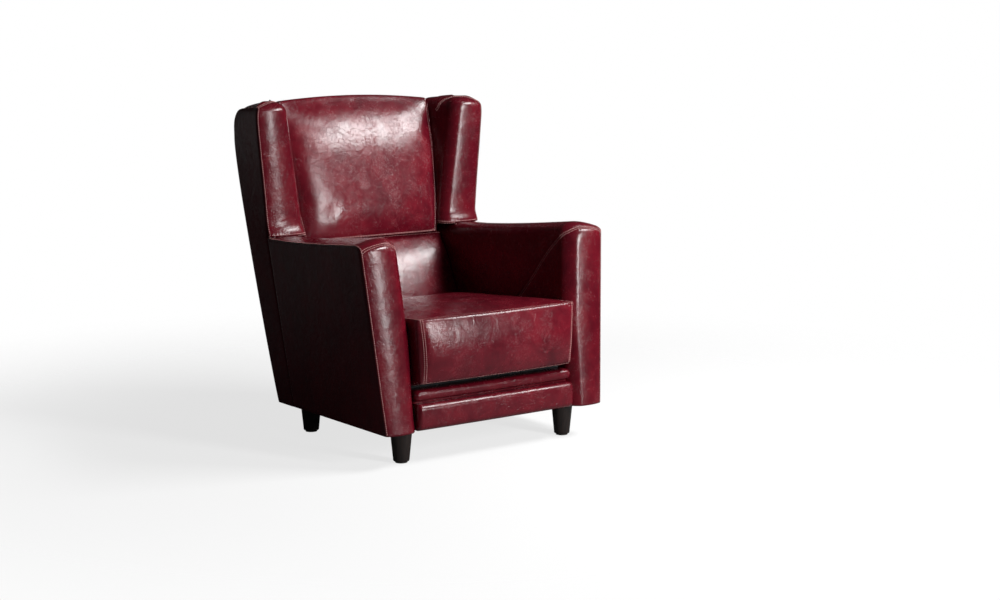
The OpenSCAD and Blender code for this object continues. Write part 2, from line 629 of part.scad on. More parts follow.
// Power that squares off the springs' bends
bend_power_share = 0.6;
spring_pitch = (seat_half - spring_half) * 2 / spring_count;
function spring_path() =
    let (n = spring_bends * spring_steps)
    [for (i = [0 : n]) let (a = 180 * i / spring_steps, c = cos(a))
        [spring_half * sign(c) * pow(abs(c), bend_power_share), mix(spring_y0, spring_y1, i / n), spring_z]];
up = [0, 0, 1];
function tube_ring(path, i, r) =
    let (a = path[max(0, i - 1)], b = path[min(len(path) - 1, i + 1)], t = b - a,
        f = t / norm(t), n = [-f[1], f[0], 0])
    [for (k = [0 : 5]) path[i] + r * (n * cos(60 * k) + up * sin(60 * k))];
module seat_springs() {
    path = spring_path();
    color(steel) for (k = [0 : spring_count - 1])
        translate([(k - (spring_count - 1) / 2) * spring_pitch, 0, 0])
            lofted([for (i = [0 : len(path) - 1]) tube_ring(path, i, wire_d / 2)]);
}
clip_w = spring_half * 1.2;
module spring_clips() {
    color(steel) for (k = [0 : spring_count - 1], end = [spring_y0, spring_y1])
        translate([(k - (spring_count - 1) / 2) * spring_pitch + spring_half - clip_w,
            end - wire_d * 2, rail_top])
            cube([clip_w, wire_d * 4, spring_z - wire_d / 2 - rail_top - fit / 2]);
}
web_count = 5;
web_h = sill;
module back_webbing() {
    low = split_h - sill * 4;
    step = (post_top - web_h - low) / (web_count - 1);
    for (k = [0 : web_count - 1]) {
        z = low + step * k;
        color(black_cloth) polyhedron(
            concat([for (level = [z, z + web_h], c = [[-1, 0], [1, 0], [1, 1], [-1, 1]])
                [c[0] * (post_in + sill), frame_front_y(level) - web_t * (1 - c[1]), level]]),
            [[0, 1, 2], [0, 2, 3], [4, 6, 5], [4, 7, 6],
                for (j = [0 : 3], t = [0, 1])
                    let (a = j, b = (j + 1) % 4) t == 0 ? [a, a + 4, b] : [b, a + 4, b + 4]]);
    }
}

// Front of the base: the padded rail cover, the deck, and the leather roll on its edge
cover_round = timber * 0.6;
// Share of the sill's width that the rail's cover laps over
lap_share = 0.15;
lap_y = sill_y + sill * lap_share;
module front_rail_cover() {
    color(leather) rotate([90, 0, 90]) translate([0, 0, -seat_half + 2 * fit])
        linear_extrude((seat_half - 2 * fit) * 2) polygon(concat(
            [[front_foot_y, leg_h], [sill_y - fit, leg_h], [sill_y - fit, rail_top + fit],
                [lap_y, rail_top + fit], [lap_y, deck_low_h - fit]],
            [for (a = [0 : 15 : 90]) [front_foot_y + cover_round * (1 - sin(a)),
                deck_low_h - fit - cover_round * (1 - cos(a))]]));
}
roll_h = deck_h * 0.11;
roll_y = front_foot_y + skin;
// Depth of the roll's body, as a share of its radius
roll_body_share = 1.6;
module deck_roll() {
    r = roll_h / 2;
    color(leather) rotate([90, 0, 90]) translate([0, 0, -seat_half + 2 * fit])
        linear_extrude((seat_half - 2 * fit) * 2) polygon(concat(
            [for (a = [0 : 15 : 180]) [roll_y + r * (1 - sin(a)), deck_h - r * (1 - cos(a))]],
            [[roll_y + r * roll_body_share, deck_h - roll_h], [roll_y + r * roll_body_share, deck_low_h],
                [sill_y + sill, deck_low_h], [sill_y + sill, deck_h]]));
}
module seat_deck() {
    color(black_cloth) translate([-seat_half + 2 * fit, sill_y + sill + fit, spring_z + wire_d / 2 + fit])
        cube([(seat_half - 2 * fit) * 2, seat_rear - sill_y - sill - fit,
            deck_h - spring_z - wire_d / 2 - fit]);
}
module dust_cover() {
    rear = rear_foot_y - layer - fit;
    half = base_half - rear_round;
    color(black_cloth) difference() {
        translate([0, 0, leg_h - skin / 2]) linear_extrude(skin / 2) polygon([
            [-rail_x, sill_y], [rail_x, sill_y], [rail_x, rear - rear_round], [half, rear],
            [-half, rear], [-rail_x, rear - rear_round]]);
        leg_places(true, true) translate([0, 0, leg_h - skin])
            cylinder(d = leg_top_d + 2 * fit, h = 2 * skin, $fn = 64);
    }
}

front_sill();
rear_sill();
side_rail(-1);  // side_rail_left
side_rail(1);  // side_rail_right
corner_blocks();
arm_post(-1);  // arm_post_left
arm_post(1);  // arm_post_right
arm_rail(-1);  // arm_rail_left
arm_rail(1);  // arm_rail_right
back_post(-1);  // back_post_left
back_post(1);  // back_post_right
back_top_rail();
back_middle_rail();
wing_board(-1);  // wing_board_left
wing_board(1);  // wing_board_right
seat_springs();
spring_clips();
back_webbing();
seat_deck();
dust_cover();
leg(-leg_x, front_leg_y);  // leg_front_left
leg(leg_x, front_leg_y);  // leg_front_right
leg(-leg_x, rear_leg_y);  // leg_rear_left
leg(leg_x, rear_leg_y);  // leg_rear_right
leg_bolts();
leg_nuts();
leg_glides();
front_rail_cover();
deck_roll();
arm_foam(-1);  // arm_foam_left
arm_foam(1);  // arm_foam_right
arm_cover(-1);  // arm_cover_left
arm_cover(1);  // arm_cover_right
outer_arm_panel(-1);  // outer_arm_panel_left
outer_arm_panel(1);  // outer_arm_panel_right
wing_foam(-1);  // wing_foam_left
wing_foam(1);  // wing_foam_right
wing_cover(-1);  // wing_cover_left
wing_cover(1);  // wing_cover_right
outer_wing_panel(-1);  // outer_wing_panel_left
outer_wing_panel(1);  // outer_wing_panel_right
outer_back_panel();
lumbar_pad_core();
lumbar_pad_cover();
back_cushion_core();
back_cushion_cover();
seat_cushion_core();
seat_cushion_cover();
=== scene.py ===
# %% [markdown]
# # A wing armchair in burgundy leather
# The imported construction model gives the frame: where every rail, leg and padded part lies.
# This file dresses that frame. It makes the leather skins, the cushions, the stitching and
# the finishes, then sets a plain studio round the chair.
#
# The frame is loaded first, because every visible piece takes its place from it.

# %% Load the frame
import math
import bmesh
import bpy
from mathutils import Matrix, Vector, noise
from mathutils.bvhtree import BVHTree
from mathutils.kdtree import KDTree


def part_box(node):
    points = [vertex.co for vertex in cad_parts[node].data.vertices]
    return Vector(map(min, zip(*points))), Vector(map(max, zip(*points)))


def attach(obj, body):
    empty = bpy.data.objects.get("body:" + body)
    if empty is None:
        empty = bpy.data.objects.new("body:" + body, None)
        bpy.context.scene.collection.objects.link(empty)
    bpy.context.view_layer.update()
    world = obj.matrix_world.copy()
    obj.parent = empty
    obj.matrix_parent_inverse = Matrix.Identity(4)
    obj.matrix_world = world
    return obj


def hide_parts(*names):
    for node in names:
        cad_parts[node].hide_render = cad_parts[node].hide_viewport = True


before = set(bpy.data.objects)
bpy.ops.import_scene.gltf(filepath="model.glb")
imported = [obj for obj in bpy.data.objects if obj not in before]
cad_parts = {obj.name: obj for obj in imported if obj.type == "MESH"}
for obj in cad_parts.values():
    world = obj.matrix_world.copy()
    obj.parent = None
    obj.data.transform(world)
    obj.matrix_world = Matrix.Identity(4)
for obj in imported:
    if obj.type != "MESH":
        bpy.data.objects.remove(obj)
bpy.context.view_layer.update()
scene = bpy.context.scene

# %% [markdown]
# ## Camera
# The photograph was taken from the chair's left front, a little above the top of its back,
# with a moderately long lens. Its place was solved from the chair's own corners, so the render
# can be laid over the photograph. A longer lens further off would flatten the arms, and a
# shorter one would splay them.

# %% Camera
camera_data = bpy.data.cameras.new("camera")
camera_data.sensor_width = 36
camera_data.lens = 64.44
camera_data.clip_end = 60
camera = bpy.data.objects.new("camera", camera_data)
camera.location = (-3.0525, -4.477, 1.2308)
camera.rotation_euler = (math.radians(81.245), 0, math.radians(-36.954))
scene.collection.objects.link(camera)
scene.camera = camera
print("camera at", [round(x, 2) for x in camera.location])

# %% [markdown]
# ## The chair's measures
# All lengths are in metres. Width runs along X, depth along Y with the front at negative Y,
# and height along Z. The same few measures shape the arms, the wings and the panels, so they
# stand here once.

# %% Measures
HEIGHT, LEG_H = 1.003, 0.098
# Arms: top seam, width, splay outwards, lean back, then the top's fall, crown and edge radius
ARM_H, ARM_W, ARM_SPLAY, ARM_LEAN = 0.628, 0.110, 0.044, 0.055
ARM_FALL, ARM_CROWN, ARM_ROUND = 0.036, 0.017, 0.035
# Base: half its width, and where front and rear stand at the legs
BASE_HALF, FRONT_FOOT_Y, REAR_FOOT_Y = 0.386, -0.410, 0.187
# Wings: front face, foot of the seam below it, depth, flare, top width and edge radii
WING_Y, SPLIT_FOOT_Y, WING_D = 0.232, 0.0934, 0.198
WING_FLARE, WING_TOP_W, WING_ROUND, WING_CORNER = 0.032, 0.098, 0.032, 0.016
WING_FOOT_H, WING_FALL = 0.5974, 0.008
WING_SEAM_H = HEIGHT - WING_CORNER
# Back: rake, height and power of its bow, roll at the top, and the radius of the rear corners
BACK_RAKE, BACK_BOW_H, BACK_CURVE, BACK_ROLL, BACK_RISE = 0.243, 0.777, 1.25, 0.060, 0.017
REAR_ROUND = 0.0235
# Cushions: seat, deck, back, and the height at which the back cushion meets the lumbar pad
SEAT_HALF, SEAT_H, DECK_H, DECK_LOW_H = 0.276, 0.418, 0.220, 0.1736
BACK_HALF, SPLIT_H = 0.2638, 0.5674
# Frame behind the back: thickness of its timber, and the heights between which it is straight
TIMBER, RAIL_TOP, POST_TOP = 0.030, 0.168, 0.915
# Leather: thickness, gaps to the frame, and the outer seam's share in the front edge's fall
SKIN, GAP, FRAME_CLEAR, SEAM_DROP = 0.0025, 0.004, 0.0031, 0.42
# How far the outsides stand out from the frame model, and a little more behind at the foot
OUT, FOOT_OUT, FOOT_OUT_H = 0.004, 0.006, 0.45
print("wings", HEIGHT, "m high, arms", ARM_H, "m, seat", SEAT_H, "m, legs", LEG_H, "m")

# %% [markdown]
# The lines of the body are functions: each gives a place at any height, and the panels on both
# sides of a seam ask the same one. Moving a measure then moves every panel that meets there.


# %% Lines of the body
def clamp(a, low=0.0, high=1.0):
    return min(high, max(low, a))


def mix(a, b, t):
    return a + (b - a) * t


def ease(t):
    t = clamp(t)
    return t * t * (3 - 2 * t)


def arc_in(r, t):
    return r - math.sqrt(max(0.0, r * r - t * t))


def rear_line(z):
    return REAR_FOOT_Y + BACK_RAKE * (1 - clamp(1 - (z - LEG_H) / BACK_BOW_H) ** BACK_CURVE)


def rear_y(z):
    foot = FOOT_OUT * (1 - ease((z - LEG_H) / FOOT_OUT_H))
    roll_from = WING_SEAM_H - WING_FALL - BACK_ROLL
    return rear_line(z) + OUT + foot - arc_in(BACK_ROLL, clamp(z - roll_from, 0, BACK_ROLL))


def frame_front_y(z):
    t = (z - RAIL_TOP) / (POST_TOP - RAIL_TOP)
    return mix(rear_line(RAIL_TOP), rear_line(POST_TOP), t) - GAP - TIMBER


def front_y(z):
    return FRONT_FOOT_Y + ARM_LEAN * (z - LEG_H) / (ARM_H - LEG_H)


def split_y(z):
    return mix(SPLIT_FOOT_Y, WING_Y, clamp((z - LEG_H) / (WING_FOOT_H - LEG_H)))


def wing_edge_y(z):
    return WING_Y + arc_in(WING_CORNER, clamp(z - (WING_SEAM_H - WING_CORNER), 0, WING_CORNER))


def side_x(y, z):
    """The chair's outer side: the arm splays to the front, and the wing flares above it."""
    splay = ARM_SPLAY * clamp((z - LEG_H) / (ARM_H - LEG_H))
    flare = WING_FLARE * clamp((z - ARM_H) / (HEIGHT - ARM_H))
    forward = clamp((split_y(z) - y) / (split_y(z) - front_y(z)))
    return BASE_HALF + OUT + splay * forward + flare * clamp((rear_y(z) - y) / WING_D)


print("base is", 2 * BASE_HALF, "m wide, wings reach", round(side_x(WING_Y, HEIGHT), 3))

# %% [markdown]
# ## How a skin of leather is made
# On the real chair a panel is cut flat and pulled over foam until it is tight. In Blender it
# could be sculpted, or cut from a box. Here each panel starts as bmesh's grid. Every vertex of
# the grid is then carried to its place on the padded body, which gives clean rows that follow
# the seams. One subdivision rounds it, and Solidify gives the hide its thickness.


# %% Helpers for grids
def grid(columns, rows, place):
    """A grid whose vertex at column i and row j is carried to place(i, j)."""
    bm = bmesh.new()
    bmesh.ops.create_grid(bm, x_segments=columns, y_segments=rows, size=1)
    for v in bm.verts:
        v.co = place(round((v.co.x + 1) / 2 * columns), round((v.co.y + 1) / 2 * rows))
    return bm


def joined(*parts):
    """Several bmeshes in one, with their common borders merged."""
    whole = bmesh.new()
    for bm in parts:
        mesh = bpy.data.meshes.new("part")
        bm.to_mesh(mesh)
        bm.free()
        whole.from_mesh(mesh)
        bpy.data.meshes.remove(mesh)
    bmesh.ops.remove_doubles(whole, verts=whole.verts, dist=2e-5)
    return whole


def face_away(bm, middle):
    """Turn all faces so that they look away from a point inside the padding."""
    bm.normal_update()
    bmesh.ops.recalc_face_normals(bm, faces=bm.faces)
    middle = Vector(middle)
    outward = sum(f.normal.dot(f.calc_center_median() - middle) * f.calc_area() for f in bm.faces)
    if outward < 0:
        bmesh.ops.reverse_faces(bm, faces=bm.faces)


# %% [markdown]
# A bmesh is only a draft, and an object keeps it. Where a later step has to find the finished
# surface, as the stitches do, the modifier is applied at once. Only the left or right piece of a
# pair is modelled: the other is its mirror image, with the faces turned back outwards.


# %% Helpers for pieces
def piece(name, bm, smooth=True):
    """An object of that bmesh, at the origin."""
    mesh = bpy.data.meshes.new(name)
    for f in bm.faces:
        f.smooth = smooth
    bm.to_mesh(mesh)
    bm.free()
    obj = bpy.data.objects.new(name, mesh)
    scene.collection.objects.link(obj)
    return obj


def evaluated(obj):
    """A mesh of the object with its modifiers, or its bevel, applied."""
    bpy.context.view_layer.update()
    graph = bpy.context.evaluated_depsgraph_get()
    return bpy.data.meshes.new_from_object(obj.evaluated_get(graph))


def apply_modifiers(obj):
    """Make the modified shape the mesh itself."""
    done = evaluated(obj)
    obj.modifiers.clear()
    obj.data = done
    return obj


def subdivided(obj, levels=1):
    step = obj.modifiers.new("round", "SUBSURF")
    step.levels = step.render_levels = levels
    return apply_modifiers(obj)


def skinned(obj, thickness=SKIN):
    step = obj.modifiers.new("hide", "SOLIDIFY")
    step.thickness = thickness
    step.offset = -1
    return obj


def mirrored(obj, name):
    """The same piece on the chair's left, its faces turned back out."""
    bm = bmesh.new()
    bm.from_mesh(obj.data)
    bmesh.ops.scale(bm, vec=(-1, 1, 1), verts=bm.verts)
    bmesh.ops.reverse_faces(bm, faces=bm.faces)
    return piece(name, bm)


# %% [markdown]
# ## Seams
# A seam is where two panels are sewn together. The leather dips into it, and the hide puckers
# between the stitches. The dip is pressed into the mesh along the seam's line, and two
# attributes keep how near a point is to a seam and how far along it, so that the finish can
# pucker there.


# %% Helpers for seams
SEAM_STEP = 0.001


def along(points, pitch):
    """Points at an even pitch along a line, each with its direction."""
    out = []
    spare = 0.0
    for a, b in zip(points, points[1:]):
        length = (b - a).length
        if length < 1e-9:
            continue
        t = spare
        while t < length:
            out.append((a.lerp(b, t / length), (b - a) / length))
            t += pitch
        spare = t - length
    return out


def press_seams(obj, seams, depth=0.0016, reach=0.006):
    """Press a groove along each line, and mark the leather beside it."""
    marks = []
    for line in seams:
        marks += [(p, i * SEAM_STEP) for i, (p, _) in enumerate(along(line, SEAM_STEP))]
    tree = KDTree(len(marks))
    for i, (p, _) in enumerate(marks):
        tree.insert(p, i)
    tree.balance()
    mesh = obj.data
    near = mesh.attributes.get("seam_near") or mesh.attributes.new("seam_near", "FLOAT", "POINT")
    run = mesh.attributes.get("seam_run") or mesh.attributes.new("seam_run", "FLOAT", "POINT")
    normals = [v.normal.copy() for v in mesh.vertices]
    for v in mesh.vertices:
        _, i, d = tree.find(v.co)
        near.data[v.index].value = math.exp(-(d / (2.2 * reach)) ** 2)
        run.data[v.index].value = marks[i][1]
        if d < reach * 3:
            v.co -= normals[v.index] * depth * math.exp(-(d / reach) ** 2)
    return obj


# %% [markdown]
# ## Arms
# Each arm is a padded block. Its leather runs in one piece over the domed top, round the
# inner edge and down the inside, and the front is a facing that leans back. A box with
# bevelled edges would be too even: here the top falls to the rear, the arm splays forwards,
# and the facing swells between its seams. So the arm is one grid from rear to front and
# round the front edge, closed by a second grid for the facing.

# %% Rows and width of the arm
EDGE_IN, FACE_SWELL, FACE_PEAK = 0.0006, 0.0112, 0.43
# Fullness of the arm's inside: its depth, the height where it is whole, where it fades to the rear
ARM_FULL, ARM_FULL_H, ARM_FULL_TO, ARM_FADE = 0.018, 0.30, 0.15, 0.5
# A softer swell above the seat, and the length over which it lasts
ARM_SWELL, ARM_SWELL_Y = 0.005, 0.5
# Space behind the arm, the crown left at its rear, and the turn in which its foot comes down
ARM_BEHIND, REAR_CROWN, LOW_TURN = 0.0576, 0.15, 16
ARM_ROWS, TURN_ROWS = 56, 12
DOME_COLS, ARC_COLS, FACE_COLS = 9, 9, 48
ARM_END = ARM_ROWS + TURN_ROWS
FACING_COLS = DOME_COLS + ARC_COLS


def puffed(s):
    """The swell of a front face from its outer seam (0) to its inner side (1)."""
    s = clamp(s)
    if s < FACE_PEAK:
        return 1 - (1 - s / FACE_PEAK) ** 2
    return 1 - ((s - FACE_PEAK) / (1 - FACE_PEAK)) ** 2


def arm_row(i):
    """The place along the arm (1 at the rear) and the turn of its front edge in degrees."""
    if i <= ARM_ROWS:
        return 1 - i / ARM_ROWS, 0.0
    return 0.0, 90 * (i - ARM_ROWS) / TURN_ROWS


def arm_inset(turn):
    return ARM_ROUND * (1 - math.cos(math.radians(turn)))


def arm_width(share, turn, z):
    """The arm's width: its padding swells inwards beside the cushion, most at the front."""
    forward = 1 - ease((share - ARM_FULL_TO) / ARM_FADE)
    full = ARM_FULL * ease((z - LEG_H) / ARM_FULL_H) * forward
    return ARM_W + OUT + full - arm_inset(turn)


def arm_y(share, turn, z):
    start = front_y(z) + ARM_ROUND
    end = min(rear_y(z) - ARM_BEHIND, frame_front_y(z) - FRAME_CLEAR)
    return start + (end - start) * share - ARM_ROUND * math.sin(math.radians(turn))


# %% [markdown]
# Each row of the arm's grid is a section: over the domed top, round the inner edge and down the
# inside. Where the edge turns at the front, the whole section draws in.


# %% Sections of the arm
def arm_section(j, share, turn):
    """The column's share of the arm's width, and its height."""
    e = arm_inset(turn)
    level = ARM_H - ARM_FALL * math.sin(math.pi / 2 * share)
    seam = level - SEAM_DROP * e
    crest = level + ARM_CROWN * mix(1, REAR_CROWN, share) - e
    w_turn = (ARM_W - e - ARM_ROUND - GAP) / (ARM_W - e - GAP)
    low = mix(DECK_LOW_H, LEG_H, ease(turn / LOW_TURN))
    if j <= DOME_COLS:
        t = j / DOME_COLS
        return w_turn * t, mix(seam, crest, math.sin(math.pi / 2 * t))
    if j <= FACING_COLS:
        a = math.pi / 2 * (j - DOME_COLS) / ARC_COLS
        return mix(w_turn, 1, math.sin(a)), crest - ARM_ROUND * (1 - math.cos(a))
    t = (j - FACING_COLS) / FACE_COLS
    return 1.0, mix(crest - ARM_ROUND, low, t)


def arm_swell(y, z, w):
    """The inside swells a little above the seat."""
    if w <= 0.99:
        return 0.0
    t = clamp((z - SEAT_H) / (ARM_H - ARM_ROUND - SEAT_H))
    along_arm = clamp((y - front_y(z)) / ARM_SWELL_Y)
    return ARM_SWELL * math.sin(math.pi * t) ** 2 * math.sin(math.pi * along_arm)


# %% [markdown]
# Now both grids are carried to their places and joined along the facing's edge.


# %% Arm skin
def arm_place(i, j):
    share, turn = arm_row(i)
    w, z = arm_section(j, share, turn)
    y = arm_y(share, turn, z)
    across = mix(EDGE_IN, arm_width(share, turn, z), w)
    x = side_x(y, z) - across - arm_swell(y, z, w)
    y -= FACE_SWELL * puffed(across / arm_width(0, 0, z)) * math.sin(math.radians(turn)) ** 2
    return Vector((x, y, z))


def facing_place(j, k):
    """The front facing: column j from the outer seam inwards, row k from the top down."""
    w, top = arm_section(j, 0.0, 90.0)
    z = mix(top, LEG_H, k / FACE_COLS)
    y = front_y(z)
    across = mix(EDGE_IN, arm_width(0, 90, z), w)
    swell = FACE_SWELL * puffed(across / arm_width(0, 0, z))
    return Vector((side_x(y, z) - across, y - swell, z))


def panel(name, bm, middle):
    """One finished panel, its faces turned away from a point inside."""
    face_away(bm, middle)
    return subdivided(piece(name, bm))


arm_body = grid(ARM_END, FACING_COLS + FACE_COLS, arm_place)
arm_facing = grid(FACING_COLS, FACE_COLS, facing_place)
arm = {"right": panel("arm_leather_right", joined(arm_body, arm_facing), (0.335, -0.05, 0.38))}
print("arm skin:", len(arm["right"].data.polygons), "faces")

# %% [markdown]
# The facing is sewn to the arm's top and inside along a long curve, which starts at the outer
# front corner, crosses the top just behind the front edge and sweeps back and down the inside.
# The curve was measured on the photograph.

# %% Seams of the arm
MITRE = [(0.4255, -0.355, 0.611), (0.412, -0.362, 0.624), (0.400, -0.366, 0.632),
         (0.380, -0.366, 0.638), (0.362, -0.364, 0.639), (0.340, -0.360, 0.636),
         (0.322, -0.356, 0.629), (0.309, -0.346, 0.619), (0.303, -0.329, 0.606),
         (0.301, -0.304, 0.582), (0.300, -0.280, 0.556), (0.299, -0.253, 0.521),
         (0.297, -0.220, 0.476), (0.295, -0.184, 0.436), (0.292, -0.150, 0.400)]


def curve_through(points, steps=10):
    """A smooth line through the points."""
    points = [Vector(p) for p in points]
    ends = [points[0] * 2 - points[1]] + points + [points[-1] * 2 - points[-2]]
    out = []
    for a, b, c, d in zip(ends, ends[1:], ends[2:], ends[3:]):
        for k in range(steps):
            t = k / steps
            out.append(0.5 * ((2 * b) + (c - a) * t + (2 * a - 5 * b + 4 * c - d) * t * t
                              + (3 * b - a - 3 * c + d) * t ** 3))
    return out + [points[-1]]


def onto(obj, line):
    """The line laid on a piece's surface."""
    tree = BVHTree.FromObject(obj, bpy.context.evaluated_depsgraph_get())
    return [tree.find_nearest(p)[0] for p in line]


bpy.context.view_layer.update()
mitre_line = onto(arm["right"], curve_through(MITRE))
# The sharp outer seam runs up the facing's outer edge, then back along the top
facing_edge = [facing_place(0, k) for k in range(FACE_COLS, -1, -1)]
top_edge = [arm_place(i, 0) for i in range(ARM_END, -1, -1)]
press_seams(arm["right"], [mitre_line, facing_edge, top_edge])
arm["left"] = mirrored(arm["right"], "arm_leather_left")
print("mitre seam:", round(sum((b - a).length for a, b in zip(mitre_line, mitre_line[1:])), 3), "m")

# %% [markdown]
# ## Wings
# A wing stands on the arm and closes the gap to the back. Its front face swells between two
# seams, its inner front edge is round, and its top rolls over. It is made as the arm is:
# level rows from the arm upwards, which turn over at the top, and a second grid that
# closes the top out to the outer seam.

# %% Rows and columns of the wing
WING_FULL, WING_SWEEP, WING_SWEEP_H = 0.014, 0.014, 0.055
# The share of the wing's depth that is flat on top, before it rolls down to the rear seam
ROOF_FLAT = 0.84
# Laps and gaps where the wing's skin meets the back, the cushion and the outer panel
TOP_LAP, TOP_GAP, SIDE_GAP, TOP_EDGE_IN = 0.012, 0.001, 0.0003, 0.0018
WING_ROWS, WING_TURNS = 40, 10
FRONT_COLS, CORNER_COLS, INNER_COLS = 9, 9, 16
WING_TOP, WING_EDGE = WING_ROWS + WING_TURNS, FRONT_COLS + CORNER_COLS


def wing_rows(i):
    """The share of the wing's height, and the turn of its top edge."""
    if i <= WING_ROWS:
        return i / WING_ROWS, 0.0
    return 1.0, math.radians(90 * (i - WING_ROWS) / WING_TURNS)


def wing_level(share, turn, r, back=0.0):
    return mix(WING_FOOT_H, HEIGHT - WING_ROUND, share) + r * math.sin(turn) - WING_FALL * back * share


def wing_in_x(z):
    t = (z - WING_FOOT_H) / (HEIGHT - WING_FOOT_H)
    return mix(BACK_HALF, BASE_HALF + WING_FLARE - WING_TOP_W, t) - WING_FULL


def wing_column(j):
    """Share across the front face, angle round the edge, share along the inside."""
    if j <= FRONT_COLS:
        return j / FRONT_COLS, 0.0, 0.0
    if j <= WING_EDGE:
        return 1.0, math.pi / 2 * (j - FRONT_COLS) / CORNER_COLS, 0.0
    return 1.0, math.pi / 2, (j - WING_EDGE) / INNER_COLS


# %% [markdown]
# On top, the wing falls a little to the rear and then rolls down to the rear seam. At its foot,
# its front sweeps forwards onto the arm.


# %% Wing body
def wing_roof(inside):
    """The height of the top, which falls to the rear and rolls down to the seam there."""
    roll = clamp((inside - ROOF_FLAT) / (1 - ROOF_FLAT))
    return WING_SEAM_H + WING_CORNER * math.sqrt(1 - roll * roll) - WING_FALL * inside


def wing_sweep(z):
    """The wing's foot sweeps forwards onto the arm."""
    return WING_SWEEP * ease((WING_FOOT_H + WING_SWEEP_H - z) / WING_SWEEP_H) ** 2


def wing_place(i, j):
    share, turn = wing_rows(i)
    s, a, inside = wing_column(j)
    e = WING_ROUND * (1 - math.cos(turn))
    seam_z = wing_level(share, turn, WING_CORNER)
    seam_y = WING_Y + WING_CORNER * (1 - math.cos(turn)) - wing_sweep(seam_z)
    z = wing_level(share, turn, WING_ROUND)
    face = WING_Y + e - wing_sweep(z)
    out_x = side_x(seam_y, seam_z) - EDGE_IN
    in_x = wing_in_x(z) + e
    if inside == 0:
        # Across the swollen front face, then round the inner edge
        rise = math.sin(math.pi / 2 * s)
        x = mix(out_x, in_x + WING_ROUND, s) - WING_ROUND * math.sin(a)
        y = mix(seam_y, face, rise) + WING_ROUND * (1 - math.cos(a))
        swell = FACE_SWELL * puffed((out_x - x) / (out_x - in_x)) * math.cos(turn) ** 2
        return Vector((x, y - swell, mix(seam_z, z, rise)))
    level = min(wing_level(share, turn, WING_ROUND, inside), wing_roof(inside))
    if level > POST_TOP + TIMBER:
        end_y = rear_y(level + TOP_LAP) - mix(GAP, TOP_GAP, ease(share * 4 - 3))
    else:
        end_y = frame_front_y(level) - FRAME_CLEAR
    x = mix(in_x, BACK_HALF + SIDE_GAP + e, inside)
    return Vector((x, mix(face + WING_ROUND, end_y, inside), level))


# %% [markdown]
# The second grid closes the top. Its front row is the rim that the first grid ends in, and its
# inner column is that grid's top row, so the two can be joined without a gap.


# %% Wing top and skin
def wing_top_place(j, k):
    """The top: column j from the outer seam inwards, row k from the front to the rear."""
    start, rim = wing_place(WING_TOP, 0), wing_place(WING_TOP, j)
    corner, inner = wing_place(WING_TOP, WING_EDGE), wing_place(WING_TOP, WING_EDGE + k)
    end = wing_place(WING_TOP, WING_EDGE + INNER_COLS)
    t = (inner.y - corner.y) / (end.y - corner.y)
    y = mix(rim.y, end.y, t)
    drop = WING_FALL * k / INNER_COLS
    corner_in = arc_in(REAR_ROUND, clamp(y - rear_y(WING_SEAM_H - drop) + REAR_ROUND, 0, REAR_ROUND))
    edge = side_x(y, WING_SEAM_H - drop) - TOP_EDGE_IN - corner_in
    w = clamp((start.x - rim.x) / (start.x - corner.x))
    x = mix(edge, inner.x, w)
    dome = mix(WING_SEAM_H - drop, inner.z, math.sin(math.pi / 2 * w) ** 0.8)
    z = mix(rim.z - drop, dome, ease(t * 3))
    return Vector((x, y, z))


wing_body = grid(WING_TOP, WING_EDGE + INNER_COLS, wing_place)
wing_top = grid(WING_EDGE, INNER_COLS, wing_top_place)
wing = {"right": panel("wing_leather_right", joined(wing_body, wing_top), (0.345, 0.33, 0.8))}
print("wing skin:", len(wing["right"].data.polygons), "faces")

# %% [markdown]
# The wing's own mitre runs from the outer top corner to the inside, and its foot is sewn to
# the arm.

# %% Seams of the wing
WING_MITRE = [(0.406, 0.240, 0.990), (0.383, 0.243, 0.998), (0.360, 0.252, 1.001),
              (0.342, 0.263, 0.999), (0.327, 0.274, 0.994), (0.315, 0.286, 0.985),
              (0.307, 0.300, 0.972), (0.3035, 0.315, 0.956)]
FOOT_SEAM_COLS = 6
bpy.context.view_layer.update()
wing_mitre_line = onto(wing["right"], curve_through(WING_MITRE))
wing_edge_line = [wing_place(i, 0) for i in range(WING_TOP + 1)]
wing_rear_line = [wing_top_place(0, k) for k in range(INNER_COLS + 1)]
wing_foot_line = [wing_place(0, j) for j in range(WING_EDGE + FOOT_SEAM_COLS)]
press_seams(wing["right"], [wing_mitre_line, wing_edge_line, wing_rear_line, wing_foot_line])
wing["left"] = mirrored(wing["right"], "wing_leather_left")
print("wing seams:", len(wing_edge_line) + len(wing_mitre_line), "points")

# %% [markdown]
# ## Outer panels
# The outsides are flat, wide panels: one under the arm, one behind it that runs up the wing and
# round the rear corner, and one across the back. They could be flat planes, but on the real
# chair their borders roll in to the seams, so each panel sinks by a millimetre or two there.

# %% Helpers for outer panels
PANEL_TUCK, PANEL_SWELL, TUCK_REACH, TOP_TUCK_SHARE = 0.0014, 0.0030, 0.010, 0.011
PANEL_COLS, PANEL_ROWS = 52, 52
CROWDING = 0.72


def tucked(s, t, width, height):
    """How far the panel stands out at shares s and t of its width and height."""
    near = min(min(s, 1 - s) * width, min(t, 1 - t) * height)
    swell = math.sin(math.pi * s) * math.sin(math.pi * t)
    return PANEL_SWELL * swell - PANEL_TUCK * (1 - ease(near / TUCK_REACH))


def spread(k, n):
    """Steps from 0 to 1 that crowd together near both ends."""
    t = k / n
    return t - math.sin(2 * math.pi * t) / (2 * math.pi) * CROWDING


def border(place, columns, rows):
    """The four edges of a grid, each as a line of points."""
    level = [[place(i, j) for i in range(columns + 1)] for j in (0, rows)]
    return level + [[place(i, j) for j in range(rows + 1)] for i in (0, columns)]


